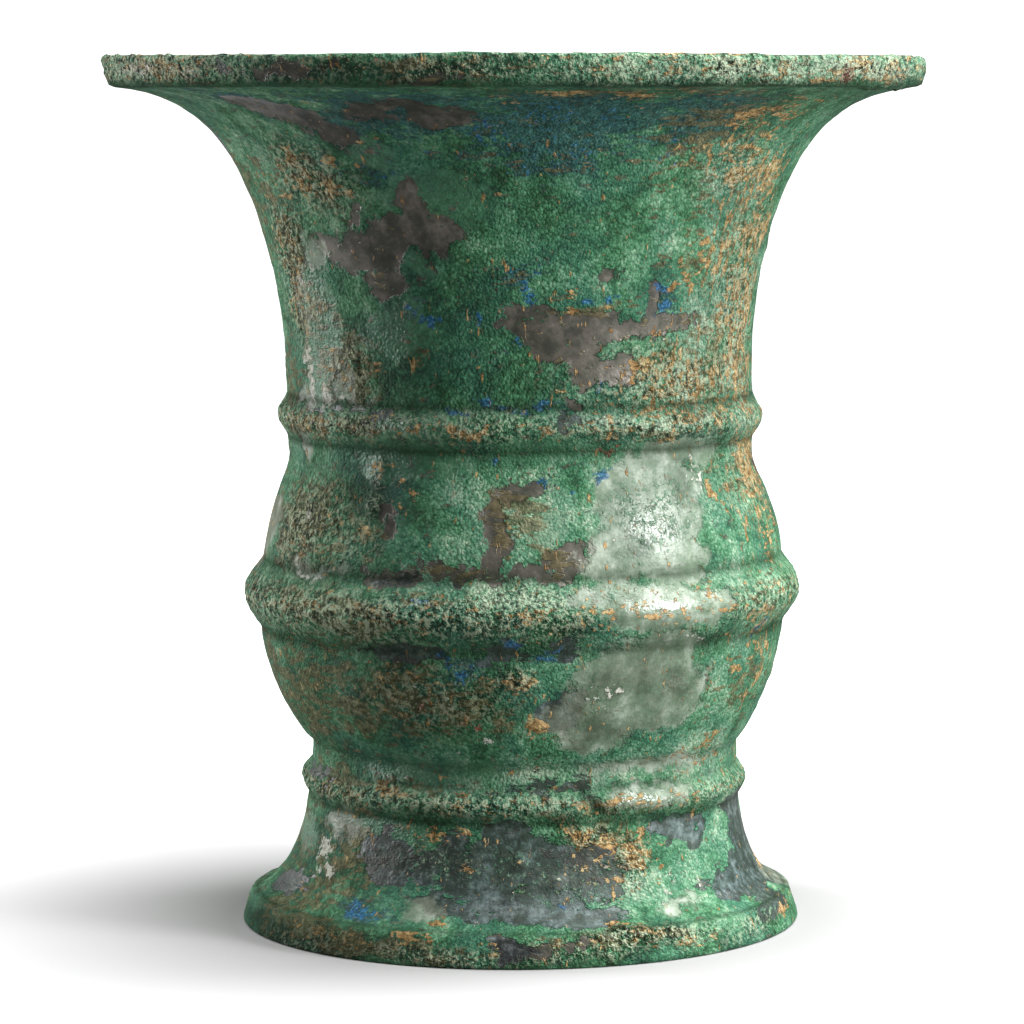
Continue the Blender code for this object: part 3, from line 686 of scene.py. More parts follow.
# %% Lip and crests
LIP_SMOOTH_AT, LIP_SMOOTH_WIDTH = -16, 40  # degrees
on_lip = smooth((height - 241) / 3) * smooth((reach - 105) / 6)
worn = on_lip * (0.3 + 0.7 * smooth(abs(turn - LIP_SMOOTH_AT) / LIP_SMOOTH_WIDTH))
for crest, half_height, _ in RIDGES.values():
    worn = np.maximum(worn, np.exp(-(((height - crest - 0.5) / (half_height * 0.62)) ** 2)))
worn = np.where(outside, worn, 0)
shaded_side = smooth((20 - turn) / 40)
filmed = smooth(fields["film"] / 3 + 0.5)

fields["tone"] += 0.06 * worn
# More crust on the shaded side: real relief, and also stronger painted highlights and shade on its grains
# there
fields["crust"] = np.maximum(fields["crust"], (0.65 + 0.35 * shaded_side) * worn * (1 - filmed))
fields["ochre"] = np.maximum(fields["ochre"], 0.36 * worn) + 0.08 * worn
fields["ochre"] = np.where(outside, fields["ochre"], INSIDE_OCHRE)
print("crests: %d vertices" % int((worn > 0.5).sum()))

# %% [markdown]
# Painted shade darkens the hollows: the creases beside the ridges, the waist and under the lip, and also the
# left of the foot's band and the chip in the lower ridge. One more field says how deep in such painted shade
# each vertex lies.

# %% Painted shade in the hollows
# Painted shade over the whole inside
INSIDE_HOLLOW = 0.2
# The shaded left of the foot's band, and the chip in the lower ridge, as patches of painted shade
FOOT_SHADE, CHIP = (-56, 3.5, 44, 4.5, 0), (18.5, 43, 1.3, 5.5, 35)
# Each crease of painted shade: its height, half its width and its depth
CREASES = [
    (UNDER_LIP, 3.0, 1), (153.2, 1.4, 1), (141.3, 1.6, 1), (107, 1.8, 0.9), (87.2, 2.2, 0.9),
    (WAIST, 2.2, 0.5), (46.9, 1.2, 0.5), (37.2, 1.4, 0.9), (FOOT_BAND + 0.5, 1.0, 0.8),
]

hollow = np.zeros(count)
for z, width, depth in CREASES:
    hollow = np.maximum(hollow, depth * np.exp(-(((along - along_at(z)) / width) ** 2)))
hollow = np.maximum(hollow, np.clip(1.5 - oval(*FOOT_SHADE), 0, 1))
hollow = np.maximum(hollow, np.exp(-(oval(*CHIP) ** 2)))
fields["hollow"] = np.where(outside, hollow, INSIDE_HOLLOW)

# %% [markdown]
# ## Relief
# Crust, pits and lumps are real relief, so they show at the edges of the vessel and stay in the mesh. First
# the large forms: the uneven casting, ridges that don't run quite level, single lumps of earth, a notch
# where the lower ridge is chipped, small nodules under the lip, and one worn corner of the lip.

# %% Uneven casting, lumps and the notch
slope = np.gradient(section, axis=0)
facing = np.stack([-slope[:, 1], slope[:, 0]], axis=1)
facing /= np.linalg.norm(facing, axis=1)[:, None]
inside_line = facing[(first + last) // 2][0] < 0
facing *= -1 if inside_line else 1

UNEVEN, CRUST_THICK, BARE_DEEP, FILM_DEEP = 0.22, 0.2, 0.22, 0.08
broad = waves(38, 3)
rise = UNEVEN * broad + CRUST_THICK * outside
rise -= BARE_DEEP * smooth(bare / 1.5 + 0.5) * outside
rise -= FILM_DEEP * smooth(fields["film"] / 2 + 0.5) * outside

# Each lump: turn, height, size and how far it stands out
LUMPS = [
    (-36, 134, 2.6, 0.9), (-13, 26, 2.4, 1.1), (-1, 26, 1.8, 0.7), (7, 21, 1.6, 0.8), (16, 34, 3.2, 0.9),
    (28, 27, 4.5, 1.0), (22, 25, 2.4, 0.7), (49, 128, 2.0, 0.9), (-35, 126, 1.8, 0.7), (-1, 79, 2.6, 0.8),
    (-18, 11, 2.2, 0.7), (20, 9, 2.2, 1.0), (26, 7, 3.0, 1.0), (12, 142, 1.5, 0.6), (19, 142, 2.6, 0.8),
    (-49, 220, 3.5, 0.8), (-39, 221, 2.8, 0.8), (3, 65, 2.2, 0.6),
]
for angle, z, size, lift in LUMPS:
    rise += lift * np.exp(-(oval(angle, z, size, size, 0) ** 2) * 1.3)

# Each cut of the notch: turn, height, half width, half height, slant and depth
NOTCH = [(18, 42, 1.5, 6.5, 38, 1.9), (16, 44, 2.2, 2.6, 20, 0.9)]
for *row, cut in NOTCH:
    rise -= cut * np.exp(-(oval(*row) ** 2) * 1.1)

standing = smooth((height - 0.3) / 1.5)
moved = spots.copy()
push = facing[ring]
for axis in (0, 1):
    moved[:, axis] += rise * standing * push[:, 0] * spots[:, axis] / np.maximum(reach, 1e-6)
moved[:, 2] += rise * standing * push[:, 1]

# How far the casting leans: height, then thousandths of a millimetre up for each millimetre to the right
TILT = [(0, 0), (20, 0), (42, -5), (60, 0), (97, 9), (125, 0), (147, -5), (200, -4), (250, -5)]
# Height, and how far the wall lies to the right there
SHIFT = [
    (0, 0), (12, 0.2), (30, 0.8), (42, 1.25), (53, 1.6), (66, 0.9), (97, 0.8), (115, 1.2), (135, 0.8),
    (160, 0.35), (180, 0), (200, -0.2), (250, -0.2),
]
moved[:, 2] += np.interp(height, *zip(*TILT)) / 1000 * spots[:, 0]
moved[:, 0] += np.interp(height, *zip(*SHIFT))
wobble = 0.25 * np.sin(3 * np.radians(turn) + 1) + 0.2 * np.sin(7 * np.radians(turn))
for crest, half_height, _ in RIDGES.values():
    moved[:, 2] += wobble * np.exp(-(((height - crest) / (half_height + 2)) ** 2)) * outside
rim = smooth((height - 240) / 6) * smooth((reach - 100) / 12)
moved[:, 2] += rim * (0.25 * broad - 0.1)
worn_corner = np.exp(-(((turn - 90) / 24) ** 2)) * smooth((height - 246) / 4) * smooth((reach - 104) / 8)
moved[:, :2] *= (1 - 0.013 * worn_corner)[:, None]
moved[:, 2] -= 0.5 * worn_corner

# Each nodule: turn, how far from the vessel's axis, size and how far it hangs down
NODULES = [
    (58, 113, 2.0, 0.9), (61.5, 114, 2.4, 1.1), (65, 113, 2.0, 0.8), (68.5, 114, 2.2, 1.0),
    (72, 113.5, 1.8, 0.7),
]
under_lip = outside & (height > 234) & (height < UNDER_LIP + 1)
for angle, out, size, drop in NODULES:
    away = np.hypot(np.radians(turn - angle) * reach, reach - out) / size
    moved[:, 2] -= drop * np.exp(-(away**2)) * under_lip

vessel.data.vertices.foreach_set("co", (moved * MM).astype(np.float32).ravel())
print("relief from %.2f to %.2f mm" % (rise.min(), rise.max()))

# %% [markdown]
# Then the crust's own roughness. A Displace modifier pushes the surface in and out by a procedural texture,
# and a vertex group says where and how much. Three of them give clods, grains and a broad, gentle
# unevenness all over. None moves the surface by more than a millimetre either way.

# %% Crust by displacement


def group(name, weights):
    """A vertex group with these weights."""
    made = vessel.vertex_groups.new(name=name)
    for index, weight in enumerate(np.clip(weights, 0, 1).tolist()):
        if weight > 0.01:
            made.add([index], weight, "REPLACE")
    return made.name


def roughen(name, size, strength, weights, depth=2):
    """Pushes the surface in and out by a texture of this size and strength, both in millimetres."""
    texture = bpy.data.textures.new(name, "CLOUDS")
    texture.noise_scale = size * MM
    texture.noise_depth = depth
    change = vessel.modifiers.new(name, "DISPLACE")
    change.texture = texture
    change.texture_coords = "LOCAL"
    change.vertex_group = group(name, weights)
    change.mid_level = 0.5
    change.strength = strength * MM
    bpy.context.view_layer.objects.active = vessel
    bpy.ops.object.modifier_apply(modifier=change.name)


clean = smooth(-bare / 1.5 + 0.3) * smooth(-fields["skin"] / 2 + 0.4) * smooth(-fields["film"] / 3 + 0.4)
ground = np.where(outside, 0.25 + 0.35 * clean, 0.3) * standing
clod_share = fields["crust"] * (0.1 + 0.9 * clean) * standing
grain_share = (0.75 * fields["crust"] * (0.3 + 0.7 * clean) + 0.25 * ground) * standing
roughen("clods", 4.5, 1.7, clod_share, 3)
roughen("grains", 2.2, 1.6, grain_share)
roughen("unevenness", 8.0, 0.9, ground)
print("crust pushed out on %d vertices" % int((fields["crust"] > 0.1).sum()))

# %% [markdown]
# The fields are now stored on the mesh as attributes, one number for each vertex, where the material can
# read them. Named attributes do this better than painted images here: they are as fine as the mesh and need
# no unwrapping. One more attribute, wound, gives each vertex a place on a thin cylinder: a texture that
# reads it is drawn out round the vessel, as the streaks in the patina are.

# %% Store the fields
for name, values in fields.items():
    layer = vessel.data.attributes.new(name, "FLOAT", "POINT")
    layer.data.foreach_set("value", values.astype(np.float32))

WOUND_RADIUS = 30.0
angle = np.radians(turn)
wound = np.stack([WOUND_RADIUS * np.sin(angle), WOUND_RADIUS * np.cos(angle), along], axis=1)
layer = vessel.data.attributes.new("wound", "FLOAT_VECTOR", "POINT")
layer.data.foreach_set("vector", wound.astype(np.float32).ravel())
bpy.ops.object.select_all(action="DESELECT")
vessel.select_set(True)
bpy.ops.object.shade_smooth_by_angle(angle=math.radians(60))
print("attributes:", len(fields))

# %% [markdown]
# ## The patina
# A patina is a stack of thin layers, and the material is built in the same order: green crust at the
# bottom, then the smooth skin, soil, bare metal, slate, film, azurite, earth, chalk and rust. Each layer
# has a mask, made from its field and a noise texture that breaks up the edge. A few short functions stand
# for the nodes that are used again and again, so that the layers below read almost as a recipe.

# %% Helpers for the material
patina = bpy.data.materials.new("bronze_patina")
patina.use_nodes = True
nodes, links = patina.node_tree.nodes, patina.node_tree.links
shader = nodes["Principled BSDF"]


def put(value, socket):
    """Connects a socket, or sets it to a fixed value."""
    if isinstance(value, bpy.types.NodeSocket):
        links.new(value, socket)
    elif isinstance(value, tuple) and socket.type == "RGBA":
        socket.default_value = value + (1.0,)
    else:
        socket.default_value = value


def sums(operation, a, b, clamp=False):
    """One sum of two numbers."""
    node = nodes.new("ShaderNodeMath")
    node.operation, node.use_clamp = operation, clamp
    put(a, node.inputs[0])
    put(b, node.inputs[1])
    return node.outputs[0]


def plus(a, b):
    """Two numbers added."""
    return sums("ADD", a, b)


def minus(a, b, clamp=False):
    """The first number less the second."""
    return sums("SUBTRACT", a, b, clamp)


def times(a, b, clamp=False):
    """Two numbers multiplied."""
    return sums("MULTIPLY", a, b, clamp)


def most(a, b):
    """The larger of two numbers."""
    return sums("MAXIMUM", a, b)


def varied(value, texture, amount):
    """A number moved up and down by a texture, by this much from the texture's lowest to its highest."""
    return plus(value, times(minus(texture, 0.5), amount))


def step(value, low, high, bottom=0.0, top=1.0):
    """Rises smoothly from bottom to top while the value goes from low to high."""
    node = nodes.new("ShaderNodeMapRange")
    node.interpolation_type = "SMOOTHSTEP"
    for i, v in enumerate((value, low, high, bottom, top)):
        put(v, node.inputs[i])
    return node.outputs[0]


def paint(mask, under, over):
    """Lays one colour over another where the mask is 1."""
    node = nodes.new("ShaderNodeMix")
    node.data_type = "RGBA"
    put(mask, node.inputs[0])
    put(under, node.inputs[6])
    put(over, node.inputs[7])
    return node.outputs[2]


def blend(mask, under, over):
    """The same for two numbers."""
    node = nodes.new("ShaderNodeMix")
    put(mask, node.inputs[0])
    put(under, node.inputs[2])
    put(over, node.inputs[3])
    return node.outputs[0]


def field(name):
    """Reads one of the fields that are stored on the mesh."""
    node = nodes.new("ShaderNodeAttribute")
    node.attribute_name = name
    return node.outputs["Fac"]


def tones(value, *stops):
    """Colours along a ramp, given as pairs of place and colour."""
    node = nodes.new("ShaderNodeValToRGB")
    ramp = node.color_ramp
    while len(ramp.elements) < len(stops):
        ramp.elements.new(0.5)
    for element, (place, colour) in zip(ramp.elements, stops):
        element.position, element.color = place, colour + (1.0,)
    put(value, node.inputs[0])
    return node.outputs[0]


# %% Noise measured in millimetres
place = nodes.new("ShaderNodeTexCoord")
in_mm = nodes.new("ShaderNodeVectorMath")
in_mm.operation = "SCALE"
links.new(place.outputs["Object"], in_mm.inputs[0])
in_mm.inputs["Scale"].default_value = 1 / MM

around = nodes.new("ShaderNodeAttribute")
around.attribute_name = "wound"
hanging = nodes.new("ShaderNodeMapping")
links.new(in_mm.outputs[0], hanging.inputs["Vector"])
hanging.inputs["Scale"].default_value = (1, 1, 0.3)
EVEN, ROUND, HANGING = in_mm.outputs[0], around.outputs["Vector"], hanging.outputs[0]


def moved_by(shift, drawn):
    """The same places moved along, so that two noises of one size don't match."""
    node = nodes.new("ShaderNodeMapping")
    links.new(drawn, node.inputs["Vector"])
    node.inputs["Location"].default_value = (shift, shift * 0.7, -shift)
    return node.outputs[0]


def grain(size, detail, roughness, shift, drawn=EVEN):
    """Noise with features of about this size, around 0.5: even, or drawn out round or down the vessel."""
    node = nodes.new("ShaderNodeTexNoise")
    links.new(moved_by(shift, drawn), node.inputs["Vector"])
    node.inputs["Scale"].default_value = 1 / size
    node.inputs["Detail"].default_value = detail
    node.inputs["Roughness"].default_value = roughness
    return node.outputs["Fac"]


def pebbles(size):
    """Rounded grains of about this size: how far it is to each one's middle, and a shade for each."""
    node = nodes.new("ShaderNodeTexVoronoi")
    links.new(EVEN, node.inputs["Vector"])
    node.inputs["Scale"].default_value = 1 / size
    return node.outputs["Distance"], node.outputs["Color"]


def ragged(name, texture, raggedness, softness):
    """Mask of a crisp patch, with its edge broken up by a texture."""
    return step(varied(field(name), texture, raggedness), -softness, softness)


def crumbs(name, texture, level, contrast, softness, base=0.0):
    """Mask of something dusted on: the thicker it lies, the more of the texture's high places it covers."""
    thick = plus(field(name), base) if base else field(name)
    return step(varied(thick, texture, contrast), level - softness, level + softness)


# %% [markdown]
# ### Green crust
# The crust is made of grains about a millimetre across, each a little different in colour, with painted
# shade in the gaps between them. A Voronoi texture gives the grains and noises at two sizes vary the green
# round them. The tone field shifts it all to the pale or the dark end of one ramp.

# %% Green crust
edges = grain(5.0, 4, 0.66, 31)
flecks = grain(2.4, 3, 0.7, 57)
dusty = grain(1.9, 3, 0.68, 91)
specks = grain(0.8, 2, 0.6, 83)
gap, grain_shade = pebbles(0.85)
crusty = field("crust")

tone = varied(field("tone"), flecks, 0.65)
tone = varied(tone, edges, 0.55)
tone = varied(tone, grain_shade, 0.34)
BOTTLE_TO_MINT = (
    (0.05, (0.011, 0.040, 0.017)), (0.26, (0.025, 0.100, 0.043)), (0.46, (0.062, 0.208, 0.100)),
    (0.66, (0.168, 0.340, 0.205)), (0.90, (0.445, 0.570, 0.405)),
)
TEAL = (0.028, 0.130, 0.115)
colour = tones(tone, *BOTTLE_TO_MINT)
colour = paint(times(field("teal"), 0.35), colour, TEAL)

# %% [markdown]
# ### Skin and soil
# The smooth skin is darker and more even than the crust. Under the lip the green has a petrol-blue tint.
# Soil is caught in the pores, so its noise is finer.

# %% Skin and soil
skin = ragged("skin", edges, 12, 1.2)
SKIN_GREENS = ((0.3, (0.015, 0.086, 0.036)), (0.7, (0.044, 0.185, 0.088)))
colour = paint(times(skin, 0.6), colour, tones(flecks, *SKIN_GREENS))

PETROL_BLUES = ((0.38, (0.008, 0.026, 0.040)), (0.50, (0.020, 0.072, 0.090)), (0.62, (0.048, 0.160, 0.160)))
mottle = grain(2.6, 3, 0.7, 41, ROUND)
petrol = step(varied(field("petrol"), mottle, 3.4), 0.28, 0.66)
colour = paint(times(petrol, 0.72), colour, tones(dusty, *PETROL_BLUES))

SOIL_BROWNS = ((0.3, (0.044, 0.038, 0.014)), (0.5, (0.120, 0.102, 0.042)), (0.7, (0.265, 0.220, 0.115)))
soil = crumbs("soil", mottle, 0.74, 3.6, 0.13, 0.18)
soil_colour = tones(flecks, *SOIL_BROWNS)
colour = paint(times(soil, 0.74), colour, soil_colour)

# %% [markdown]
# ### Bare metal, slate and film
# Where the crust has come off, the metal is a dull grey-brown. Near the foot it is slate grey and mottled.
# The film is thin: the green shows through it, and it has a shine.

# %% Bare metal, slate and film
tarnish = grain(5.5, 4, 0.68, 67)
earth = grain(2.0, 3, 0.7, 47, ROUND)
islands = step(earth, 0.66, 0.69)
torn = plus(times(edges, 0.7), times(dusty, 0.3))
bare_mask = times(ragged("bare", torn, 13, 0.3), minus(1.0, islands))
bare_tone = plus(times(tarnish, 0.72), times(field("tone"), 0.3))
TARNISHED_METAL = (
    (0.31, (0.018, 0.017, 0.013)), (0.45, (0.052, 0.045, 0.036)), (0.58, (0.128, 0.108, 0.092)),
    (0.72, (0.250, 0.225, 0.208)),
)
colour = paint(times(bare_mask, 0.94), colour, tones(bare_tone, *TARNISHED_METAL))
colour = paint(times(times(bare_mask, soil), 0.75), colour, soil_colour)

clods = grain(1.7, 2, 0.6, 7)
poking = times(step(dusty, 0.55, 0.59), times(crusty, 1.2), clamp=True)
frayed = plus(times(edges, 0.4), times(mottle, 0.6))
slate_mask = times(ragged("slate", frayed, 14, 0.3), minus(1.0, poking))
slate_tone = plus(times(tarnish, 0.4), times(dusty, 0.45))
slate_tone = plus(slate_tone, minus(0.075, times(field("dark"), 0.06)))
CHARCOAL_TO_SLATE = (
    (0.42, (0.005, 0.006, 0.006)), (0.50, (0.022, 0.030, 0.031)), (0.57, (0.074, 0.098, 0.102)),
    (0.67, (0.170, 0.208, 0.210)),
)
colour = paint(times(slate_mask, 0.9), colour, tones(slate_tone, *CHARCOAL_TO_SLATE))

FILM_GREYS = ((0.3, (0.075, 0.092, 0.060)), (0.5, (0.165, 0.195, 0.142)), (0.7, (0.400, 0.430, 0.370)))
film_area = ragged("film", torn, 13, 1.2)
film_mask = times(film_area, minus(1.0, poking))
film_tone = varied(tarnish, field("tone"), 0.45)
colour = paint(times(film_mask, 0.74), colour, tones(film_tone, *FILM_GREYS))

# %% [markdown]
# ### Azurite, earth, chalk and rust
# These lie on top, as crumbs and specks.

# %% Azurite, earth, chalk and rust
AZURITE_BLUES = ((0.35, (0.008, 0.045, 0.110)), (0.52, (0.015, 0.105, 0.260)), (0.7, (0.060, 0.270, 0.480)))
azure_mask = crumbs("azure", dusty, 0.84, 3.4, 0.10)
colour = paint(times(azure_mask, 0.78), colour, tones(specks, *AZURITE_BLUES))

EARTH_TANS = (
    (0.3, (0.150, 0.074, 0.022)), (0.45, (0.370, 0.215, 0.080)), (0.58, (0.530, 0.365, 0.165)),
    (0.72, (0.640, 0.520, 0.320)),
)
ochre_texture = plus(times(earth, 0.55), times(dusty, 0.45))
ochre_mask = crumbs("ochre", ochre_texture, 0.72, 4.2, 0.07, 0.06)
drip_texture = grain(2.2, 3, 0.66, 19, HANGING)
ochre_mask = most(ochre_mask, crumbs("drips", drip_texture, 0.72, 4.2, 0.09))
colour = paint(times(ochre_mask, 0.9), colour, tones(flecks, *EARTH_TANS))

CHALK_WHITE = (0.64, 0.64, 0.56)
RUST_REDS = ((0.4, (0.090, 0.020, 0.012)), (0.6, (0.260, 0.060, 0.045)), (0.75, (0.560, 0.260, 0.280)))
chalk_mask = crumbs("chalk", dusty, 0.90, 3.4, 0.12, 0.04)
colour = paint(times(chalk_mask, 0.82), colour, CHALK_WHITE)
rust_mask = crumbs("rust", flecks, 0.72, 2.6, 0.15)
colour = paint(times(rust_mask, 0.85), colour, tones(specks, *RUST_REDS))

# %% [markdown]
# ### Painted highlights and shade on the grains, painted shade in the hollows
# Each grain of the crust gets a painted highlight where it catches the light and painted shade in the gap
# beside it.
# Thick crust has deeper pits of painted shade. The smooth places have few of either. Last, the hollows get
# painted shade.

# %% Painted shade and highlights on the grains, painted shade in the hollows
# Painted shade for the gaps and pits, a painted highlight for the tips of the grains, and painted shade for
# the hollows
PIT_SHADE, TIP_HIGHLIGHT, PAINTED_HOLLOW_SHADE = (0.010, 0.020, 0.010), (0.430, 0.490, 0.340), (0.018, 0.028, 0.017)

smoothness = most(times(skin, 0.45), times(bare_mask, 0.97))
smoothness = most(smoothness, times(film_area, 0.88))
smoothness = most(smoothness, times(slate_mask, 0.88))
grainy = minus(1.0, smoothness, clamp=True)
# Painted shade in the gaps between the grains and in the pits
gap_shade_share = times(grainy, plus(times(crusty, 0.35), 0.38))
gap_shade = times(step(gap, 0.45, 0.85), gap_shade_share)
deep_pit_shade = times(step(clods, 0.46, 0.37), times(plus(crusty, 0.12), grainy))
pit_shade = times(step(specks, 0.47, 0.33), grainy)
pit_shade = times(pit_shade, plus(times(crusty, 0.5), 0.38))
pit_shade = most(pit_shade, times(deep_pit_shade, 0.92))
colour = paint(most(pit_shade, gap_shade), colour, PIT_SHADE)

# Painted highlight on the tips of the grains
tip_highlights = times(step(specks, 0.55, 0.68), grainy)
tip_highlights = times(tip_highlights, plus(times(crusty, 0.75), 0.10))
thick = times(crusty, grainy)
tip_highlights = most(tip_highlights, times(step(clods, 0.52, 0.60), times(thick, 0.72)))
colour = paint(tip_highlights, colour, TIP_HIGHLIGHT)
# Painted shade in the hollows
hollows = times(field("hollow"), step(flecks, 0.2, 0.6, 0.45, 1.0))
colour = paint(times(hollows, 0.72), colour, PAINTED_HOLLOW_SHADE)
put(colour, shader.inputs["Base Color"])

# %% [markdown]
# ### Shine and fine relief
# Crust is dull, bare metal and film are smoother. The bump carries what is finer than the mesh, in
# millimetres: grains, crumbs of earth and the step down into the bare patches.

# %% Shine and fine relief
rough = step(specks, 0.3, 0.7, 0.66, 0.92)
rough = blend(skin, rough, 0.46)
rough = blend(bare_mask, rough, step(tarnish, 0.35, 0.65, 0.52, 0.38))
rough = blend(slate_mask, rough, step(tarnish, 0.35, 0.65, 0.60, 0.44))
rough = blend(film_mask, rough, blend(field("gloss"), step(flecks, 0.35, 0.65, 0.42, 0.58), 0.17))
rough = blend(most(ochre_mask, chalk_mask), rough, 0.9)
put(rough, shader.inputs["Roughness"])
put(times(bare_mask, 0.45), shader.inputs["Metallic"])
film_gloss = times(film_mask, plus(times(field("gloss"), 0.8), 0.2))
stone_gloss = most(times(bare_mask, 0.7), times(slate_mask, 0.5))
glossy = most(stone_gloss, most(film_gloss, times(skin, 0.3)))
# Less shine where the hollows have painted shade
open_air = step(field("hollow"), 0.1, 0.9, 1.0, 0.2)
put(times(blend(glossy, 0.16, 0.7), open_air), shader.inputs["Specular IOR Level"])

relief = times(minus(1.0, gap), 0.36)
relief = plus(relief, times(specks, 0.75))
relief = plus(relief, times(times(clods, 3.4), crusty))
relief = times(relief, plus(times(grainy, 0.96), 0.03))
showing_through = times(poking, film_area)
LAYERS = (
    (bare_mask, -0.25), (slate_mask, -0.12), (film_mask, -0.08), (showing_through, 0.35), (ochre_mask, 0.4),
    (chalk_mask, 0.3), (soil, 0.12), (azure_mask, 0.1),
)
for mask, thickness in LAYERS:
    relief = plus(relief, times(mask, thickness))
bump = nodes.new("ShaderNodeBump")
bump.inputs["Strength"].default_value = 1.0
bump.inputs["Distance"].default_value = MM
put(relief, bump.inputs["Height"])
links.new(bump.outputs["Normal"], shader.inputs["Normal"])

vessel.data.materials.clear()
vessel.data.materials.append(patina)
print("patina: %d nodes" % len(nodes))

# %% Put the vessel in the frame
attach(vessel, "root")
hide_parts("zun_vessel")

# %% [markdown]
# ## The studio
# The vessel stands on a white sweep: a floor that curves up into a backdrop with no edge to be seen.

# %% Floor and backdrop
FLOOR_SIZE, BACKDROP_HEIGHT, CURVE_RADIUS = 8.0, 5.0, 1.6  # metres
WHITE = (1, 1, 1, 1)

bpy.ops.object.select_all(action="DESELECT")
bpy.ops.mesh.primitive_plane_add(size=FLOOR_SIZE, location=(0, 0, 0))
sweep = bpy.context.object
sweep.name = sweep.data.name = "sweep"
bpy.ops.object.mode_set(mode="EDIT")
bpy.ops.mesh.select_mode(type="EDGE")
bpy.ops.mesh.select_all(action="DESELECT")
bpy.ops.object.mode_set(mode="OBJECT")
for edge in sweep.data.edges:
    ends = [sweep.data.vertices[i].co.y for i in edge.vertices]
    edge.select = min(ends) > FLOOR_SIZE / 2 - 0.1
bpy.ops.object.mode_set(mode="EDIT")
bpy.ops.mesh.extrude_region_move(TRANSFORM_OT_translate={"value": (0, 0, BACKDROP_HEIGHT)})
bpy.ops.object.mode_set(mode="OBJECT")
curve = sweep.modifiers.new("curve", "BEVEL")
curve.width, curve.segments, curve.limit_method = CURVE_RADIUS, 16, "ANGLE"
bpy.ops.object.modifier_apply(modifier="curve")
bpy.ops.object.shade_smooth()

# %% [markdown]
# The paper is plain: pale grey in the light, and further from the vessel it glows a little, so that it turns
# to pure white, as in the photograph. Only the camera sees the glow. To the vessel the paper is a dull grey,
# or it would light the vessel from below.

# %% What only the camera sees


def for_the_camera(tree, seen, unseen, output):
    """Shows one shader to the camera and another to everything else."""
    ray = tree.nodes.new("ShaderNodeLightPath")
    choice = tree.nodes.new("ShaderNodeMixShader")
    tree.links.new(ray.outputs["Is Camera Ray"], choice.inputs[0])
    tree.links.new(unseen.outputs[0], choice.inputs[1])
    tree.links.new(seen.outputs[0], choice.inputs[2])
    tree.links.new(choice.outputs[0], tree.nodes[output].inputs["Surface"])


# %% White paper
PAPER_GREY, PAPER_AS_LIGHT = 0.38, 0.30
GLOW_STARTS, GLOW_FULL, GLOW = 0.085, 0.25, 1.15

paper = bpy.data.materials.new("white_paper")
paper.use_nodes = True
paper_nodes, paper_links = paper.node_tree.nodes, paper.node_tree.links
white = paper_nodes["Principled BSDF"]
white.inputs["Base Color"].default_value = (PAPER_GREY, PAPER_GREY, PAPER_GREY, 1)
white.inputs["Roughness"].default_value = 0.9
white.inputs["Specular IOR Level"].default_value = 0.1
white.inputs["Emission Color"].default_value = WHITE
grey = paper_nodes.new("ShaderNodeBsdfDiffuse")
grey.inputs["Color"].default_value = (PAPER_AS_LIGHT, PAPER_AS_LIGHT, PAPER_AS_LIGHT, 1)

paper_place = paper_nodes.new("ShaderNodeTexCoord")
paper_axes = paper_nodes.new("ShaderNodeVectorMath")
paper_axes.operation = "LENGTH"
paper_glow = paper_nodes.new("ShaderNodeMapRange")
paper_links.new(paper_place.outputs["Object"], paper_axes.inputs[0])
paper_links.new(paper_axes.outputs["Value"], paper_glow.inputs["Value"])
for socket, value in zip(("From Min", "From Max", "To Min", "To Max"), (GLOW_STARTS, GLOW_FULL, 0.0, GLOW)):
    paper_glow.inputs[socket].default_value = value
paper_links.new(paper_glow.outputs[0], white.inputs["Emission Strength"])

for_the_camera(paper.node_tree, seen=white, unseen=grey, output="Material Output")
sweep.data.materials.append(paper)
print("sweep:", len(sweep.data.polygons), "faces")

# %% [markdown]
# ## Light
# A soft box at the right gives the form and the shine on the belly, and a tall one behind at the left gives
# the sheen on the neck. Two more hang overhead: one at the right casts the shadow to the left, and one in
# front brightens the tops of the ridges, while the lip keeps it off the neck. The pale room does the rest.

# %% Lamps
AIM = 0.12  # metres above the ground, the middle of the vessel


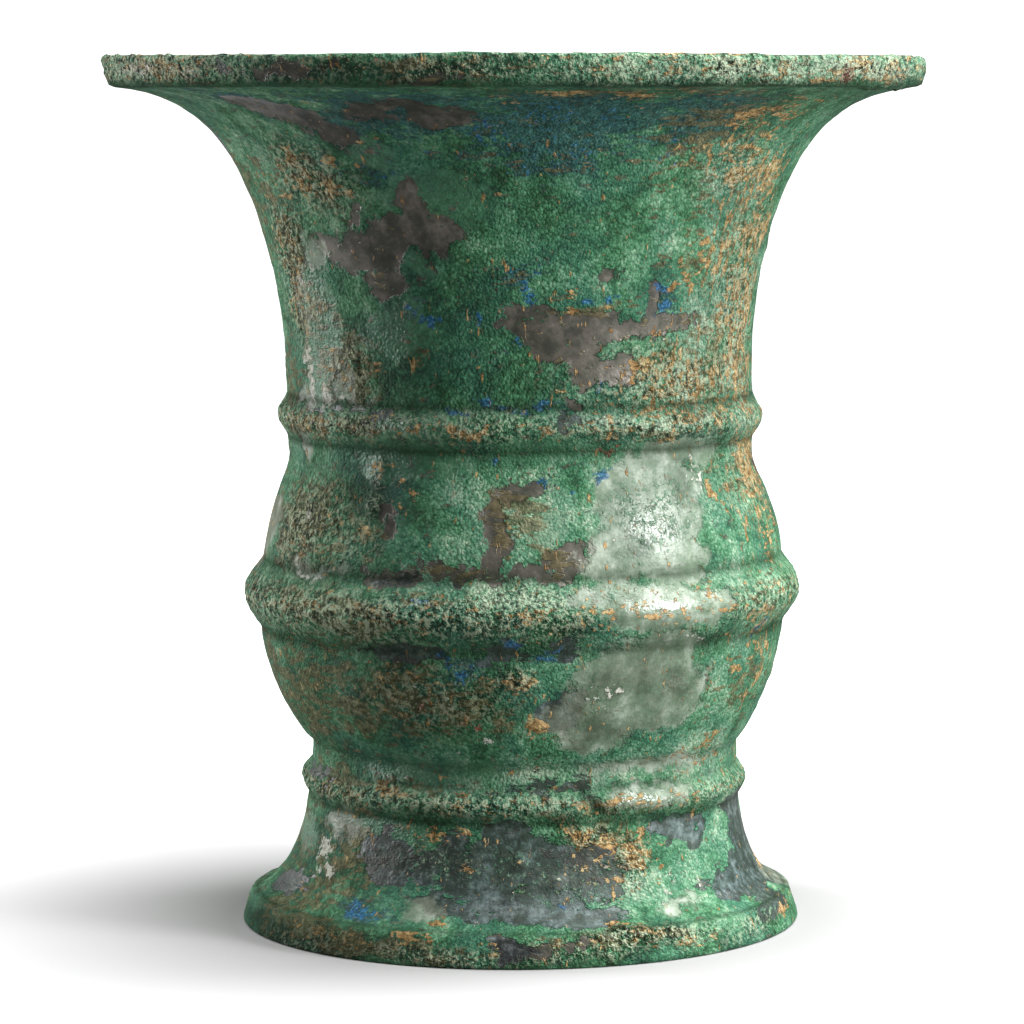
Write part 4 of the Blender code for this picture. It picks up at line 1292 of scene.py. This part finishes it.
def soft_box(name, angle, up, distance, width, tall, power):
    """A rectangular lamp at this turn round the vessel and this angle above the ground."""
    lamp = bpy.data.lights.new(name, "AREA")
    lamp.shape, lamp.size, lamp.size_y, lamp.energy = "RECTANGLE", width, tall, power
    made = bpy.data.objects.new(name, lamp)
    bpy.context.scene.collection.objects.link(made)
    a, e = math.radians(angle), math.radians(up)
    away, rise = distance * math.cos(e), distance * math.sin(e)
    made.location = (away * math.sin(a), -away * math.cos(a), AIM + rise)
    made.rotation_euler = (Vector((0, 0, AIM)) - made.location).to_track_quat("-Z", "Y").to_euler()


soft_box("key", angle=62, up=18, distance=1.5, width=0.34, tall=0.7, power=29)
soft_box("top", angle=106, up=58, distance=1.4, width=0.7, tall=0.7, power=33)
soft_box("front", angle=14, up=64, distance=1.5, width=0.6, tall=0.4, power=13.5)
soft_box("edge", angle=-112, up=14, distance=1.2, width=0.18, tall=0.9, power=17)
print("lamps:", ", ".join(lamp.name for lamp in bpy.data.lights))

# %% The room
ROOM_GLOW, SEEN_GLOW = 0.16, 1.1

world = bpy.data.worlds.new("room")
world.use_nodes = True
room_light = world.node_tree.nodes["Background"]
room_light.inputs["Color"].default_value = WHITE
room_light.inputs["Strength"].default_value = ROOM_GLOW
room_white = world.node_tree.nodes.new("ShaderNodeBackground")
room_white.inputs["Color"].default_value = WHITE
room_white.inputs["Strength"].default_value = SEEN_GLOW
for_the_camera(world.node_tree, seen=room_white, unseen=room_light, output="World Output")
bpy.context.scene.world = world
bpy.context.scene.view_settings.view_transform = "Standard"

# %% [markdown]
# ## Camera
# The photograph was taken from a little over a metre away with a long lens, from about the height of the
# lip, tipped down by less than six degrees and turned by less than half a degree.

# %% Camera
LENS, SENSOR = 148.6, 36  # millimetres
DISTANCE, EYE_HEIGHT = 1.2224, 0.2397  # metres
TIP, LEAN, TURN = 5.67, -0.30, 0.088  # degrees

lens = bpy.data.cameras.new("camera")
lens.lens, lens.sensor_width = LENS, SENSOR
lens.clip_start, lens.clip_end = 0.05, 30
camera = bpy.data.objects.new("camera", lens)
bpy.context.scene.collection.objects.link(camera)
turned = Matrix.Rotation(math.radians(TURN), 4, "Z") @ Matrix.Rotation(math.radians(90 - TIP), 4, "X")
leaned = Matrix.Rotation(math.radians(LEAN), 4, "Z")
camera.matrix_world = Matrix.Translation((0, -DISTANCE, EYE_HEIGHT)) @ turned @ leaned
bpy.context.scene.camera = camera
print("camera: %.2f m away, %.0f mm lens" % (DISTANCE, LENS))
